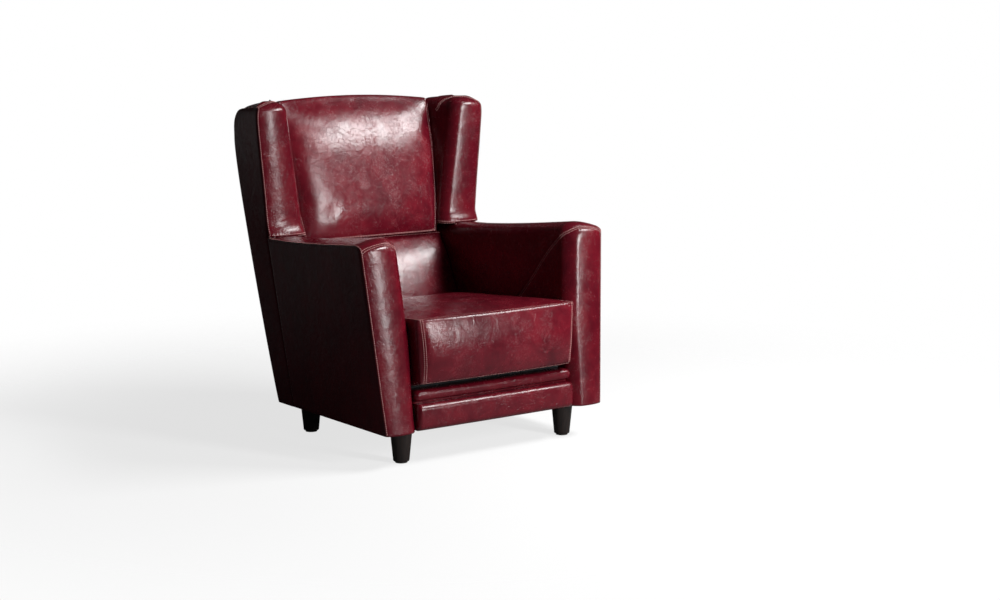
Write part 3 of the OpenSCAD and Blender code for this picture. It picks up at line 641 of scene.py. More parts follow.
# %% [markdown]
# The panel under the arm ends below the arm's top seam, which falls to the rear and drops again
# at the rounded front edge, so the panel's top follows the same terms as the arm's own skin.

# %% Panel under the arm
ARM_PANEL_SIZE = (0.6, 0.5)
SPLIT_LAP, FACING_LAP = 0.0003, 0.002


def arm_panel_place(i, j):
    """Column i from the side seam to the facing's edge, row j from the underside up."""
    s, t = spread(i, PANEL_COLS), spread(j, PANEL_ROWS)
    start_y = arm_y(0.0, 0.0, ARM_H)
    end_y = arm_y(1.0, 0.0, ARM_H)
    y_top = mix(split_y(ARM_H), front_y(ARM_H), s)
    share = clamp((y_top - start_y) / (end_y - start_y))
    turn = clamp((start_y - y_top) / ARM_ROUND)
    drop = SEAM_DROP * ARM_ROUND * arc_in(1, turn)
    top = ARM_H - ARM_FALL * math.sin(math.pi / 2 * share) - drop
    z = mix(LEG_H, top, t)
    y = mix(split_y(z) - SPLIT_LAP, front_y(z) + FACING_LAP, s)
    return Vector((side_x(y, z) + min(0.0, tucked(s, t, *ARM_PANEL_SIZE)), y, z))


# %% [markdown]
# The next panel starts at that side seam, runs up the wing and turns round the rear corner. The
# back panel fills the space between the two corners. Both use the same levels, so their rows
# meet at the rear seam.

# %% Panels of wing and back
RISE_ROWS, ROUND_COLS, SEAM_COLS = 84, 8, 2
WING_PANEL_COLS = PANEL_COLS + ROUND_COLS
# Rough sizes of the panels, which scale how fast their borders roll in
PANEL_D, BACK_PANEL_H, BACK_PANEL_IN, BACK_PANEL_SWELL = 0.2, 0.9, 0.001, 0.85
# The height over which the panel's front edge changes from the arm's seam to the wing's
FRONT_BLEND_H = 0.01


def side_level(j):
    """A row's height, its share of the panel's height, and how far the row falls to the rear."""
    z = mix(LEG_H, WING_SEAM_H, spread(j, RISE_ROWS))
    rise = clamp((z - WING_FOOT_H) / (WING_SEAM_H - WING_FOOT_H))
    return z, (z - LEG_H) / (WING_SEAM_H - LEG_H), WING_FALL * rise


def wing_panel_place(i, j):
    z, t, fall = side_level(j)
    front = mix(split_y(z) + SPLIT_LAP, wing_edge_y(z), ease((z - WING_FOOT_H) / FRONT_BLEND_H + 1))
    back = rear_y(z - fall) - REAR_ROUND
    top_tuck = 1 - ease((1 - t) / TOP_TUCK_SHARE)
    if i <= PANEL_COLS:
        s = spread(i, PANEL_COLS) if i < PANEL_COLS / 2 else i / PANEL_COLS
        y, level = mix(front, back, s), z - fall * s
        tuck = PANEL_TUCK * min(1, 1 - ease(s * PANEL_D / TUCK_REACH) + top_tuck)
        return Vector((side_x(y, level) - tuck, y, level))
    a = math.pi / 2 * (i - PANEL_COLS) / ROUND_COLS
    r = REAR_ROUND - PANEL_TUCK * min(1, ease((i - WING_PANEL_COLS + SEAM_COLS) / SEAM_COLS) + top_tuck)
    x = side_x(back, z - fall) - REAR_ROUND
    return Vector((x + r * math.cos(a), back + r * math.sin(a), z - fall))


def back_panel_place(i, j):
    z, t, fall = side_level(j)
    s = spread(i, PANEL_COLS)
    half = side_x(rear_y(z - fall) - REAR_ROUND, z - fall) - REAR_ROUND
    stand = tucked(s, t, 2 * half, BACK_PANEL_H) * BACK_PANEL_SWELL - BACK_PANEL_IN
    return Vector((half * (2 * s - 1), rear_y(z - fall) + stand, z - fall))


def outer_panel(name, columns, rows, place, middle):
    obj = panel(name, grid(columns, rows, place), middle)
    return press_seams(obj, border(place, columns, rows), depth=0.0004)


side_panel = {"right": outer_panel("arm_panel_right", PANEL_COLS, PANEL_ROWS, arm_panel_place,
                                   (0, -0.05, 0.35))}
rear_side = {"right": outer_panel("wing_panel_right", WING_PANEL_COLS, RISE_ROWS, wing_panel_place,
                                  (0, 0.1, 0.55))}
back_panel = outer_panel("back_panel", PANEL_COLS, RISE_ROWS, back_panel_place, (0, -0.2, 0.55))
side_panel["left"] = mirrored(side_panel["right"], "arm_panel_left")
rear_side["left"] = mirrored(rear_side["right"], "wing_panel_left")
padded_skins = [*arm.values(), *wing.values()]
outer_panels = [*side_panel.values(), *rear_side.values(), back_panel]
for obj in padded_skins + outer_panels:
    skinned(obj)
print("outer panels:", [len(obj.data.polygons) for obj in outer_panels], "faces")

# %% [markdown]
# ## Cushions
# The loose seat cushion is foam in a boxed cover: a top and an underside, joined by a band,
# with a stitched seam on each edge. The two back pads are the same kind of thing. A cushion
# could be a box with round edges, but real leather swells between its seams. So each starts
# as a box of fine cells a little smaller than the cushion, its seams are pinned, and Cloth
# with inner pressure blows the panels out between them. The swelling is capped, so the
# cushion keeps to its place between the arms.


# %% Helpers for cushions
def fine_box(nx, ny, nz):
    """A cube from -1 to 1 whose sides are cut into nx, ny and nz cells."""
    bm = bmesh.new()
    bmesh.ops.create_cube(bm, size=2)
    for axis, count in enumerate((nx, ny, nz)):
        edges = [e for e in bm.edges if abs(e.verts[0].co[axis] - e.verts[1].co[axis]) > 1.9]
        bmesh.ops.subdivide_edges(bm, edges=edges, cuts=count - 1, use_grid_fill=True)
    return bm


def round_corner(x, y, hx, hy, r):
    """Carry a point of a square corner onto a round one."""
    p, q = (abs(x) - (hx - r)) / r, (abs(y) - (hy - r)) / r
    if p <= 0 or q <= 0:
        return x, y
    k = max(p, q) / math.hypot(p, q)
    return math.copysign(hx - r + p * k * r, x), math.copysign(hy - r + q * k * r, y)


def at_end(a):
    """Whether a coordinate of the cube is on one of its two sides."""
    return abs(abs(a) - 1) < 1e-4


def end_fade(a):
    """Full across the width, and down to nothing at both ends."""
    return max(0.0, 1 - abs(a) ** 7) ** 0.6


def cushion(name, cells, place, is_pinned, middle):
    """A box of fine cells carried to its place, and its pinned points."""
    bm = fine_box(*cells)
    pins = [v.index for v in bm.verts if is_pinned(*v.co)]
    for v in bm.verts:
        v.co = place(v.co)
    face_away(bm, middle)
    return piece(name, bm), pins


# %% [markdown]
# Cloth works over frames, so the helper plays a short run of them and keeps the last one. Every
# step is the same each time, because nothing here is random. The capped cover gets a few rounds
# of smoothing, since the cap leaves sharp changes.


# %% Helpers for swelling
CLOTH_QUALITY, CLOTH_MASS, CLOTH_STRETCH, CLOTH_SHEAR, CLOTH_BENDING = 6, 0.4, 25, 12, 2.5


def blown(obj, pinned, cap, pressure=4.0, frames=20):
    """Swell a closed cover with Cloth, holding the pinned vertices, and cap the movement."""
    rest = [v.co.copy() for v in obj.data.vertices]
    group = obj.vertex_groups.new(name="pinned")
    group.add(pinned, 1.0, "REPLACE")
    cloth = obj.modifiers.new("cloth", "CLOTH")
    s = cloth.settings
    s.use_pressure = True
    s.uniform_pressure_force = pressure
    s.vertex_group_mass = "pinned"
    s.quality = CLOTH_QUALITY
    s.mass = CLOTH_MASS
    s.tension_stiffness = s.compression_stiffness = CLOTH_STRETCH
    s.shear_stiffness = CLOTH_SHEAR
    s.bending_stiffness = CLOTH_BENDING
    s.effector_weights.gravity = 0
    cloth.collision_settings.use_collision = False
    cloth.point_cache.frame_start = 1
    cloth.point_cache.frame_end = frames
    for f in range(1, frames + 1):
        scene.frame_set(f)
    apply_modifiers(obj)
    scene.frame_set(1)
    for v, start in zip(obj.data.vertices, rest):
        move = v.co - start
        if move.length > cap:
            v.co = start + move * (cap / move.length)
    obj.vertex_groups.clear()
    return obj


def softened(obj, pinned, rounds=2):
    """Even out the sharp changes that a capped cover has."""
    held = set(pinned)
    bm = bmesh.new()
    bm.from_mesh(obj.data)
    bm.verts.ensure_lookup_table()
    free = [v for v in bm.verts if v.index not in held]
    for _ in range(rounds):
        bmesh.ops.smooth_vert(bm, verts=free, factor=0.5, use_axis_x=True, use_axis_y=True,
                              use_axis_z=True)
    bm.to_mesh(obj.data)
    bm.free()
    return obj


# %% [markdown]
# The seat cushion lies on the deck. It bows forward between the arms, its top falls to the
# rear, and its crown is steepest next to the seams.

# %% Seat cushion
SEAT_FRONT, SEAT_FALL = -0.416, 0.038
SEAT_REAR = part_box("seat_cushion_cover")[1].y - 0.002
SEAT_LENGTH = SEAT_REAR - SEAT_FRONT
SEAT_X, SEAT_REAR_IN, SEAT_FOOT_IN, SEAT_R = 0.284, 0.012, 0.011, 0.015
SEAT_BOW, SEAT_CROWN, SEAT_BULGE, SEAT_PEAK = 0.009, 0.013, 0.018, 0.42
SEAT_FOOT_GAP, SEAT_FOOT_UP = 0.002, 0.012
SEAT_CELLS = (56, 54, 20)


def crown(a, b):
    """The rise of the top, from nothing at its square border to 1 in the middle."""
    rho = (abs(a) ** 7 + abs(b) ** 7) ** (1 / 7)
    return max(0.0, 1 - min(rho, 1.0) ** 2.4) ** 0.42


def seat_place(co):
    a, b, c = co
    hy = SEAT_LENGTH / 2
    x, y = round_corner(a * SEAT_X, b * hy, SEAT_X, hy, SEAT_R)
    a, b, t = x / SEAT_X, y / hy, (c + 1) / 2
    y += (SEAT_FRONT + SEAT_REAR) / 2 - SEAT_BOW * (1 - a * a) * ease(-b * 1.5 + 0.2)
    top = SEAT_H - SEAT_FALL * clamp((y - SEAT_FRONT) / SEAT_LENGTH)
    low = DECK_H + SEAT_FOOT_GAP + SEAT_FOOT_UP * ease((-b - 0.8) / 0.2)
    z = mix(low, top, t)
    if b < -0.999:
        rise = (t - SEAT_PEAK) / (1 - SEAT_PEAK) if t > SEAT_PEAK else 1 - t / SEAT_PEAK
        y -= SEAT_BULGE * (1 - rise ** 2) * end_fade(a)
    x *= 1 - (SEAT_REAR_IN * (b + 1) / 2 + SEAT_FOOT_IN * (1 - t)) / SEAT_X
    if c > 0.999:
        z += SEAT_CROWN * crown(a, b)
    return Vector((x, y, z))


def seat_pinned(a, b, c):
    """The sides and the underside are held, and the seams at front and rear."""
    return at_end(a) or (at_end(c) and at_end(b)) or c < -0.999


seat, seat_pins = cushion("seat_cushion", SEAT_CELLS, seat_place, seat_pinned, (0, -0.13, 0.32))
blown(seat, seat_pins, 0.011)
softened(seat, seat_pins, 1)
print("seat cushion:", len(seat.data.polygons), "faces,", len(seat_pins), "pinned points")

# %% [markdown]
# The back cushion leans against the webbing. It is a soft pillow: flat behind, full in front,
# with a thick roll at the top that stands a little above the wings, and it is sewn to the
# lumbar pad below it. Its front follows an outline of points, each a height and a depth, that
# was measured on the photograph.

# %% Back cushion
BACK_LOW, BACK_TOP, BACK_BOW, BACK_BOW_FROM = SPLIT_H + 0.001, 0.996, 0.014, 0.75
BACK_THIN, WING_AIR, BACK_WIDER, BACK_SIDE_TOP = 0.012, 0.0025, 0.010, 0.98
BACK_CELLS = (52, 8, 52)
BACK_SEAM_LOW, BACK_SEAM_HIGH = 0.250, 0.345
BACK_OUTLINE = [(0.568, 0.244), (0.585, 0.232), (0.615, 0.226), (0.655, 0.230), (0.700, 0.240),
                (0.760, 0.2555), (0.820, 0.2715), (0.860, 0.284), (0.895, 0.298), (0.922, 0.311),
                (0.945, 0.326), (0.965, 0.342), (0.983, 0.359), (1.000, 0.378)]
BACK_FRONT = [(p.z, p.y) for p in curve_through([(0, y, z) for z, y in BACK_OUTLINE])]


def back_lean(z):
    return frame_front_y(min(z, POST_TOP)) - FRAME_CLEAR


def wing_inside_x(y, z):
    """Where a wing's inner face lies beside the cushion."""
    share = (y - WING_Y - WING_ROUND) / (frame_front_y(z) - WING_Y - WING_ROUND)
    return mix(wing_in_x(z), BACK_HALF, clamp(share))


def back_front_y(z):
    """The cushion's front in side view, between the points of its outline."""
    for (low, y_low), (high, y_high) in zip(BACK_FRONT, BACK_FRONT[1:]):
        if z <= high:
            return mix(y_low, y_high, clamp((z - low) / (high - low)))
    return BACK_FRONT[-1][1]


def back_place(co):
    a, b, c = co
    t = (c + 1) / 2
    z = mix(BACK_LOW, BACK_TOP, t)
    seam = mix(BACK_SEAM_LOW, BACK_SEAM_HIGH, t)
    front = mix(seam, back_front_y(z), end_fade(a))
    behind = min(back_lean(z), rear_y(z + TOP_LAP + BACK_RISE) - GAP)
    y = mix(min(front, behind - BACK_THIN), behind, (b + 1) / 2)
    half = min(wing_inside_x(y, min(z, BACK_SIDE_TOP)) - WING_AIR, BACK_HALF + BACK_WIDER)
    z += BACK_BOW * (1 - a * a) * ease((t - BACK_BOW_FROM) / (1 - BACK_BOW_FROM))
    return Vector((a * half, y, z))


def back_pinned(a, b, c):
    """The sides, the foot and the rear are held."""
    return at_end(a) or c < -0.999 or b > 0.999


back, back_pins = cushion("back_cushion", BACK_CELLS, back_place, back_pinned, (0, 0.28, 0.78))
blown(back, back_pins, 0.0035, pressure=3)
softened(back, back_pins, 8)
print("back cushion:", len(back.data.polygons), "faces")

# %% [markdown]
# The lumbar pad fills the angle between seat and back. Most of it is behind the seat cushion.

# %% Lumbar pad
LUMBAR_LOW, LUMBAR_HIGH = mix(SEAT_H, DECK_H, 0.45) + 0.001, SPLIT_H - 0.001
LUMBAR_HALF, LUMBAR_FULL = SEAT_HALF - 0.003, 0.016
# Thickness at the foot and at the top, and how the top thins towards its seam
LUMBAR_FOOT_D, LUMBAR_TOP_D, LUMBAR_THIN, LUMBAR_THIN_FROM = 0.0767, 0.0374, 0.55, 0.72
LUMBAR_CELLS = (52, 8, 26)


def lumbar_place(co):
    a, b, c = co
    t = (c + 1) / 2
    z = mix(LUMBAR_LOW, LUMBAR_HIGH, t)
    thin = mix(1.0, LUMBAR_THIN, ease((t - LUMBAR_THIN_FROM) / (1 - LUMBAR_THIN_FROM)))
    edge = mix(LUMBAR_FOOT_D, LUMBAR_TOP_D, t) * thin
    full = LUMBAR_FULL * (1 - abs(a) ** 2.6) * math.sin(math.pi * mix(0.36, 0.98, t)) ** 0.7
    y = mix(back_lean(z) - edge - full, back_lean(z), (b + 1) / 2)
    return Vector((a * LUMBAR_HALF, y, z))


def lumbar_pinned(a, b, c):
    """Only the front swells, between its own four seams."""
    return b > -0.999 or at_end(a) or at_end(c)


lumbar, lumbar_pins = cushion("lumbar_pad", LUMBAR_CELLS, lumbar_place, lumbar_pinned, (0, 0.2, 0.45))
blown(lumbar, lumbar_pins, 0.007, pressure=3)
softened(lumbar, lumbar_pins, 1)
print("lumbar pad:", len(lumbar.data.polygons), "faces")

# %% [markdown]
# ## Front rail and deck roll
# Under the cushion the front rail wears its own padded cover, and a thin leather roll with a
# small apron below it finishes the deck's edge. A swept curve could make them, but all are
# bars with flat backs, so they are boxes whose front edges are bevelled, cut into cells so
# that they can swell a little.


# %% Helper for padded bars
RIPPLE_OUT, RIPPLE_UP = 0.0006, 0.0008


def padded_bar(name, low, high, radius, cells, swell):
    """A box whose two front long edges are round, swollen in front and a little uneven."""
    bm = bmesh.new()
    bmesh.ops.create_cube(bm, size=1)
    low, high = Vector(low), Vector(high)
    for v in bm.verts:
        v.co = Vector([mix(low[k], high[k], v.co[k] + 0.5) for k in range(3)])
    long_edges = [e for e in bm.edges if abs(e.verts[0].co.x - e.verts[1].co.x) > 0.1
                  and min(v.co.y for v in e.verts) < low.y + 1e-4]
    bmesh.ops.bevel(bm, geom=long_edges, offset=radius, offset_type="OFFSET", segments=8,
                    profile=0.5, affect="EDGES", material=-1, clamp_overlap=True)
    for k in range(1, cells):
        bmesh.ops.bisect_plane(bm, geom=bm.verts[:] + bm.edges[:] + bm.faces[:],
                               plane_co=(mix(low.x, high.x, k / cells), 0, 0), plane_no=(1, 0, 0))
    for v in bm.verts:
        if v.co.y < low.y + radius:
            t = (v.co.x - low.x) / (high.x - low.x)
            v.co.y -= swell * math.sin(math.pi * t) ** 0.4 + RIPPLE_OUT * noise.noise(v.co * 22)
            if v.co.z > mix(low.z, high.z, 0.6):
                v.co.z += RIPPLE_UP * noise.noise(v.co * 17 + Vector((3, 1, 4)))
    bmesh.ops.recalc_face_normals(bm, faces=bm.faces)
    return piece(name, bm)


# %% Front rail, deck roll and apron
BAR_CELLS = 60
RAIL_OUT, RAIL_ROUND, RAIL_SWELL = 0.005, 0.017, 0.003
# The roll: how far it stands back, its depth behind the solid's front, its foot and its top
ROLL_IN, ROLL_D, ROLL_FOOT, ROLL_DROP, ROLL_ROUND, ROLL_SWELL = 0.008, 0.06, 0.040, 0.009, 0.0145, 0.002
APRON_IN, APRON_LAP, APRON_DROP, APRON_ROUND, APRON_SWELL = 0.026, 0.004, 0.036, 0.0040, 0.001
rail_low, rail_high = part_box("front_rail_cover")
roll_low, roll_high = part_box("deck_roll")
rail = padded_bar("front_rail_leather", (rail_low.x, rail_low.y - RAIL_OUT, rail_low.z), rail_high,
                  RAIL_ROUND, BAR_CELLS, RAIL_SWELL)
roll = padded_bar("deck_roll_leather", (roll_low.x, roll_low.y + ROLL_IN, roll_high.z - ROLL_FOOT),
                  (roll_high.x, roll_low.y + ROLL_D, roll_high.z - ROLL_DROP),
                  ROLL_ROUND, BAR_CELLS, ROLL_SWELL)
apron = padded_bar("deck_apron_leather", (roll_low.x, roll_low.y + APRON_IN, rail_high.z - APRON_LAP),
                   (roll_high.x, roll_low.y + ROLL_D, roll_high.z - APRON_DROP),
                   APRON_ROUND, BAR_CELLS, APRON_SWELL)
print("front rail, deck roll and apron:", [len(o.data.polygons) for o in (rail, roll, apron)], "faces")

# %% [markdown]
# ## Deck and dust cover
# Under the loose cushion lies the deck, a firm pad in black cloth over the springs, seen when
# the cushion is lifted out. Below the frame a black cloth keeps the dust off. It is stretched
# and tacked to the base, so it is a plain sheet that sags a little in the middle.


# %% Deck and dust cover
DECK_BEHIND_ROLL, DECK_DROP, DECK_ROUND, DECK_CELLS = 0.062, 0.0015, 0.010, 48
deck_low, deck_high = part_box("seat_deck")
deck = padded_bar("deck_pad", (deck_low.x, roll_low.y + DECK_BEHIND_ROLL, deck_low.z),
                  (deck_high.x, deck_high.y, deck_high.z - DECK_DROP), DECK_ROUND, DECK_CELLS, 0.0)
DUST_CELLS, DUST_SAG, DUST_HEM, DUST_LIFT, DUST_THICK = 24, 0.006, 0.004, 0.0005, 0.0006
dust_low, dust_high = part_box("dust_cover")
DUST_CUT = (dust_high.x - dust_low.x - 2 * DUST_HEM, dust_high.y - dust_low.y - 2 * DUST_HEM)


def dust_place(i, j):
    s, t = i / DUST_CELLS, j / DUST_CELLS
    sag = DUST_SAG * math.sin(math.pi * s) * math.sin(math.pi * t)
    y = mix(dust_low.y + DUST_HEM, dust_high.y - DUST_HEM, t)
    return Vector((DUST_CUT[0] * (s - 0.5), y, dust_low.z + DUST_LIFT - sag))


dust_bm = grid(DUST_CELLS, DUST_CELLS, dust_place)
for f in dust_bm.faces:
    if f.normal.z > 0:
        f.normal_flip()
dust = skinned(piece("dust_cloth", dust_bm), DUST_THICK)
print("dust cover:", [round(x, 3) for x in DUST_CUT], "m")

# %% [markdown]
# ## Stitches
# The seams are topstitched with a pale thread. A texture could draw the stitches, but they
# would stay flat. Here every stitch is a small capsule of few faces, laid on the finished
# surface along the seam and half sunk in it.


# %% Helper for stitches
STITCH_PITCH, STITCH_LONG, STITCH_THICK = 0.0060, 0.0046, 0.0009
STITCH_WIDER, STITCH_UP = 1.5, 0.3


def sewn(name, lines, on, offset, toward):
    """Stitches along lines, at an offset to the side that looks toward a point."""
    graph = bpy.context.evaluated_depsgraph_get()
    trees = [BVHTree.FromObject(obj, graph) for obj in on]

    def laid(point):
        """The nearest place on the pieces, and the surface's direction there."""
        return min((tree.find_nearest(point) for tree in trees), key=lambda hit: hit[3])[:2]

    bm = bmesh.new()
    for line in lines:
        for p, direction in along(line, STITCH_PITCH):
            place, normal = laid(p)
            across = direction.cross(normal).normalized()
            if across.dot(Vector(toward) - place) < 0:
                across = -across
            place, normal = laid(place + across * offset)
            run = (direction - normal * direction.dot(normal)).normalized()
            axes = (run * STITCH_LONG / 2, normal.cross(run) * STITCH_THICK * STITCH_WIDER,
                    normal * STITCH_THICK)
            centre = Matrix.Translation(place + normal * STITCH_THICK * STITCH_UP)
            bmesh.ops.create_icosphere(bm, subdivisions=1, radius=1,
                                       matrix=centre @ Matrix(axes).transposed().to_4x4())
    bm.normal_update()
    return piece(name, bm)


# %% [markdown]
# Each run is given by its seam, the pieces it lies on, its distance from the seam and a point on
# the side where it lies. The runs are listed for the right side and turned over for the left.

# %% Stitches on arms and wings
RUNS = [("arm_stitches", (facing_edge, top_edge), (arm,), 0.0042, (0.30, -0.25, 0.60)),
        ("arm_mitre_stitches", (mitre_line,), (arm,), 0.0032, (0.34, -0.30, 0.38)),
        ("arm_mitre_row", (mitre_line,), (arm,), 0.0032, (0.31, 0.3, 0.9)),
        ("wing_stitches", (wing_edge_line, wing_rear_line), (wing,), 0.0040, (0.34, 0.3, 0.8)),
        ("wing_mitre_stitches", (wing_mitre_line,), (wing,), 0.003, (0.34, 0.2, 0.8)),
        ("wing_mitre_row", (wing_mitre_line,), (wing,), 0.003, (0.34, 0.5, 1.1)),
        ("wing_foot_stitches", (wing_foot_line,), (wing,), 0.005, (0.34, 0.3, 0.9)),
        ("wing_foot_row", (wing_foot_line,), (arm, wing), 0.004, (0.34, 0.2, 0.2))]


def turned(point, sign):
    return Vector((sign * point[0], point[1], point[2]))


bpy.context.view_layer.update()
stitches = []
for side, sign in (("right", 1), ("left", -1)):
    for name, seams, pieces, offset, toward in RUNS:
        lines = [[turned(p, sign) for p in line] for line in seams]
        on = [pair[side] for pair in pieces]
        stitches.append(sewn(f"{name}_{side}", lines, on, offset, turned(toward, sign)))
print("stitched:", len(stitches), "runs on arms and wings")

# %% [markdown]
# The cushions are sewn along their edges too. The seat has a seam round its top and its
# bottom, and one down each front corner. Each is a line of points on the box before it was
# blown up, so the stitches lie beside the edge.

# %% Seams of the cushions
EDGE_STEPS, CORNER_STEPS = 60, 30
# The share of the seat's half width where its corner seams run, and where the back's sides end
SEAT_CORNER, BACK_SIDE_END = 0.955, 0.93
CUSHION_REACH, CUSHION_DEPTH, SEAT_DEPTH = 0.004, 0.0010, 0.0012


def edge(place, *corners, steps=EDGE_STEPS):
    """The line that edges of the cube take on the cushion."""
    corners = [Vector(c) for c in corners]
    return [place(a.lerp(b, k / steps)) for a, b in zip(corners, corners[1:]) for k in range(steps + 1)]


seat_top_edge, seat_low_edge = [edge(seat_place, (-1, 1, c), (-1, -1, c), (1, -1, c), (1, 1, c))
                                for c in (1, -1)]
seat_posts = [edge(seat_place, (a, -1, 1), (a, -1, -1), steps=CORNER_STEPS)
              for a in (-SEAT_CORNER, SEAT_CORNER)]
back_sides = [edge(back_place, (a, -1, -1), (a, -1, BACK_SIDE_END)) for a in (-1, 1)]
back_foot = edge(back_place, (-1, -1, -1), (1, -1, -1))
lumbar_top = edge(lumbar_place, (-1, -1, 1), (1, -1, 1))
press_seams(seat, [seat_top_edge, seat_low_edge, *seat_posts], SEAT_DEPTH, CUSHION_REACH)
press_seams(back, [*back_sides, back_foot], CUSHION_DEPTH, CUSHION_REACH)
press_seams(lumbar, [lumbar_top], CUSHION_DEPTH, CUSHION_REACH)
for obj in (seat, back, lumbar):
    subdivided(obj)
print("cushions:", [len(obj.data.polygons) for obj in (seat, back, lumbar)], "faces")

# %% Stitches of the cushions
bpy.context.view_layer.update()
seat_stitches = [
    sewn("seat_top_stitches", [seat_top_edge], [seat], 0.0045, (0, -0.13, 0.46)),
    sewn("seat_band_stitches", [seat_top_edge], [seat], 0.0045, (0, -0.13, 0.30)),
    sewn("seat_low_stitches", [seat_low_edge], [seat], 0.0045, (0, -0.13, 0.32)),
    *[sewn(f"seat_corner_stitches_{k}_{j}", [line], [seat], 0.0032, (x, -0.6, 0.32))
      for k, line in enumerate(seat_posts) for j, x in enumerate((-1.5, 1.5))]]
stitches += [
    sewn("back_foot_stitches", [back_foot], [back], 0.0040, (0, 0.1, 0.9)),
    sewn("back_foot_row", [back_foot], [back], 0.0075, (0, 0.1, 0.9)),
    sewn("back_side_stitches", back_sides, [back], 0.0040, (0, 0.1, 0.8)),
    sewn("lumbar_stitches", [lumbar_top], [lumbar], 0.0040, (0, 0.1, 0.3))]
print("seat stitches:", sum(len(o.data.polygons) for o in seat_stitches), "faces")

# %% [markdown]
# Piping follows the sides of the back cushion, where its front panel meets the boxing. It is a
# thin cord in a sleeve of leather. A ring could be extruded along the edge, but a curve with a
# round bevel does the same in one step, and its mesh is then kept.


# %% Piping
PIPING_R = 0.0019


def piping(name, line, radius):
    curve = bpy.data.curves.new(name, "CURVE")
    curve.dimensions = "3D"
    curve.bevel_depth = radius
    curve.bevel_resolution = 2
    curve.use_fill_caps = True
    spline = curve.splines.new("POLY")
    spline.points.add(len(line) - 1)
    for point, p in zip(spline.points, line):
        point.co = (*p, 1)
    obj = bpy.data.objects.new(name, curve)
    scene.collection.objects.link(obj)
    mesh = evaluated(obj)
    bpy.data.objects.remove(obj)
    for f in mesh.polygons:
        f.use_smooth = True
    done = bpy.data.objects.new(name, mesh)
    scene.collection.objects.link(done)
    return done


welts = [piping(f"back_piping_{side}", line, PIPING_R) for side, line in zip(("left", "right"), back_sides)]
print("piping:", len(welts), "runs")

# %% [markdown]
# ## Finishes
# The leather is pull-up aniline: a burgundy hide with oil in it, so it is deep in the hollows,
# brighter where it is stretched, and scuffed where it is rubbed. Each leather could have its
# own full set of nodes. Instead one node group makes what all of them share, and each leather
# puts its own colours and gloss into it.


# %% Node helpers
COLOUR, NUMBER = "NodeSocketColor", "NodeSocketFloat"


def new_group(name, inputs, outputs):
    tree = bpy.data.node_groups.new(name, "ShaderNodeTree")
    for label, kind, value in inputs:
        socket = tree.interface.new_socket(label, in_out="INPUT", socket_type=kind)
        socket.default_value = value
    for label, kind in outputs:
        tree.interface.new_socket(label, in_out="OUTPUT", socket_type=kind)
    return tree, tree.nodes.new("NodeGroupInput").outputs, tree.nodes.new("NodeGroupOutput").inputs


def fill(tree, socket, value):
    """Link a socket's value into this one, or set a plain value on it."""
    if isinstance(value, bpy.types.NodeSocket):
        tree.links.new(value, socket)
    else:
        socket.default_value = value


def node(tree, kind, inputs=(), **settings):
    """A node with its settings, and its numbered or named inputs filled."""
    made = tree.nodes.new(kind)
    for key, value in settings.items():
        setattr(made, key, value)
    for key, value in dict(inputs).items():
        fill(tree, made.inputs[key], value)
    return made


# %% [markdown]
# A pattern is a chain of small sums on numbers. These helpers each add one node and return its
# output, so that a chain can be written as one line.


# %% Pattern helpers
def maths(tree, operation, a, b=0.0, clamp=False):
    return node(tree, "ShaderNodeMath", {0: a, 1: b}, operation=operation, use_clamp=clamp).outputs[0]


def times(tree, a, b):
    return maths(tree, "MULTIPLY", a, b)


def weighted(tree, *pairs):
    """The sum of several values, each times its weight."""
    total, *others = [times(tree, value, weight) for value, weight in pairs]
    for other in others:
        total = maths(tree, "ADD", total, other)
    return total


def blend(tree, factor, a, b):
    """Colour a, turning to colour b as the factor goes from 0 to 1."""
    return node(tree, "ShaderNodeMix", {0: factor, 6: a, 7: b}, data_type="RGBA").outputs[2]


def ramp(tree, value, low, high):
    """0 at low, 1 at high, smooth between."""
    return node(tree, "ShaderNodeMapRange", {0: value, 1: low, 2: high, 3: 0.0, 4: 1.0},
                interpolation_type="SMOOTHSTEP").outputs[0]


def place_of(tree):
    return node(tree, "ShaderNodeTexCoord").outputs["Object"]


def noise_of(tree, where, scale, detail=4.0, rough=0.55, distortion=0.0):
    return node(tree, "ShaderNodeTexNoise", {"Vector": where, "Scale": scale, "Detail": detail,
                                             "Roughness": rough, "Distortion": distortion}).outputs[0]


# %% [markdown]
# The mottling mixes a broad noise with a smaller one. Where the mixture is high the hide is
# bright, where it is low it is deep, and in between it has its body colour.

# %% Leather group: mottling
hide, asked, given = new_group(
    "hide",
    [("Deep", COLOUR, (0.02, 0.001, 0.003, 1)), ("Body", COLOUR, (0.1, 0.01, 0.01, 1)),
     ("Bright", COLOUR, (0.2, 0.02, 0.02, 1)), ("Mottle", NUMBER, 1.0), ("Creases", NUMBER, 1.0),
     ("Gloss", NUMBER, 0.3)],
    [("Color", COLOUR), ("Roughness", NUMBER), ("Height", NUMBER)])
where = place_of(hide)
cloud = noise_of(hide, where, 5.5, 5.0, 0.6, 0.6)
patch = noise_of(hide, where, 21.0, 5.0, 0.65, 0.8)
mottled = weighted(hide, (cloud, 0.55), (patch, 0.45))
bright = times(hide, ramp(hide, mottled, 0.44, 0.66), asked["Mottle"])
deep = times(hide, ramp(hide, mottled, 0.50, 0.34), asked["Mottle"])
colour = blend(hide, bright, asked["Body"], asked["Bright"])
colour = blend(hide, times(hide, deep, 0.75), colour, asked["Deep"])
print("mottling:", len(hide.nodes), "nodes")

# %% [markdown]
# Creases and veins are the borders of large and of small cells. Straight cells would look like
# cracked mud, so a noise bends them, and a slow noise rubs most of them out.

# %% Leather group: creases and veins
bend = node(hide, "ShaderNodeTexNoise", {"Vector": where, "Scale": 9.0, "Detail": 5.0}).outputs[1]
bent = node(hide, "ShaderNodeVectorMath", {0: where, 1: bend}, operation="ADD").outputs[0]


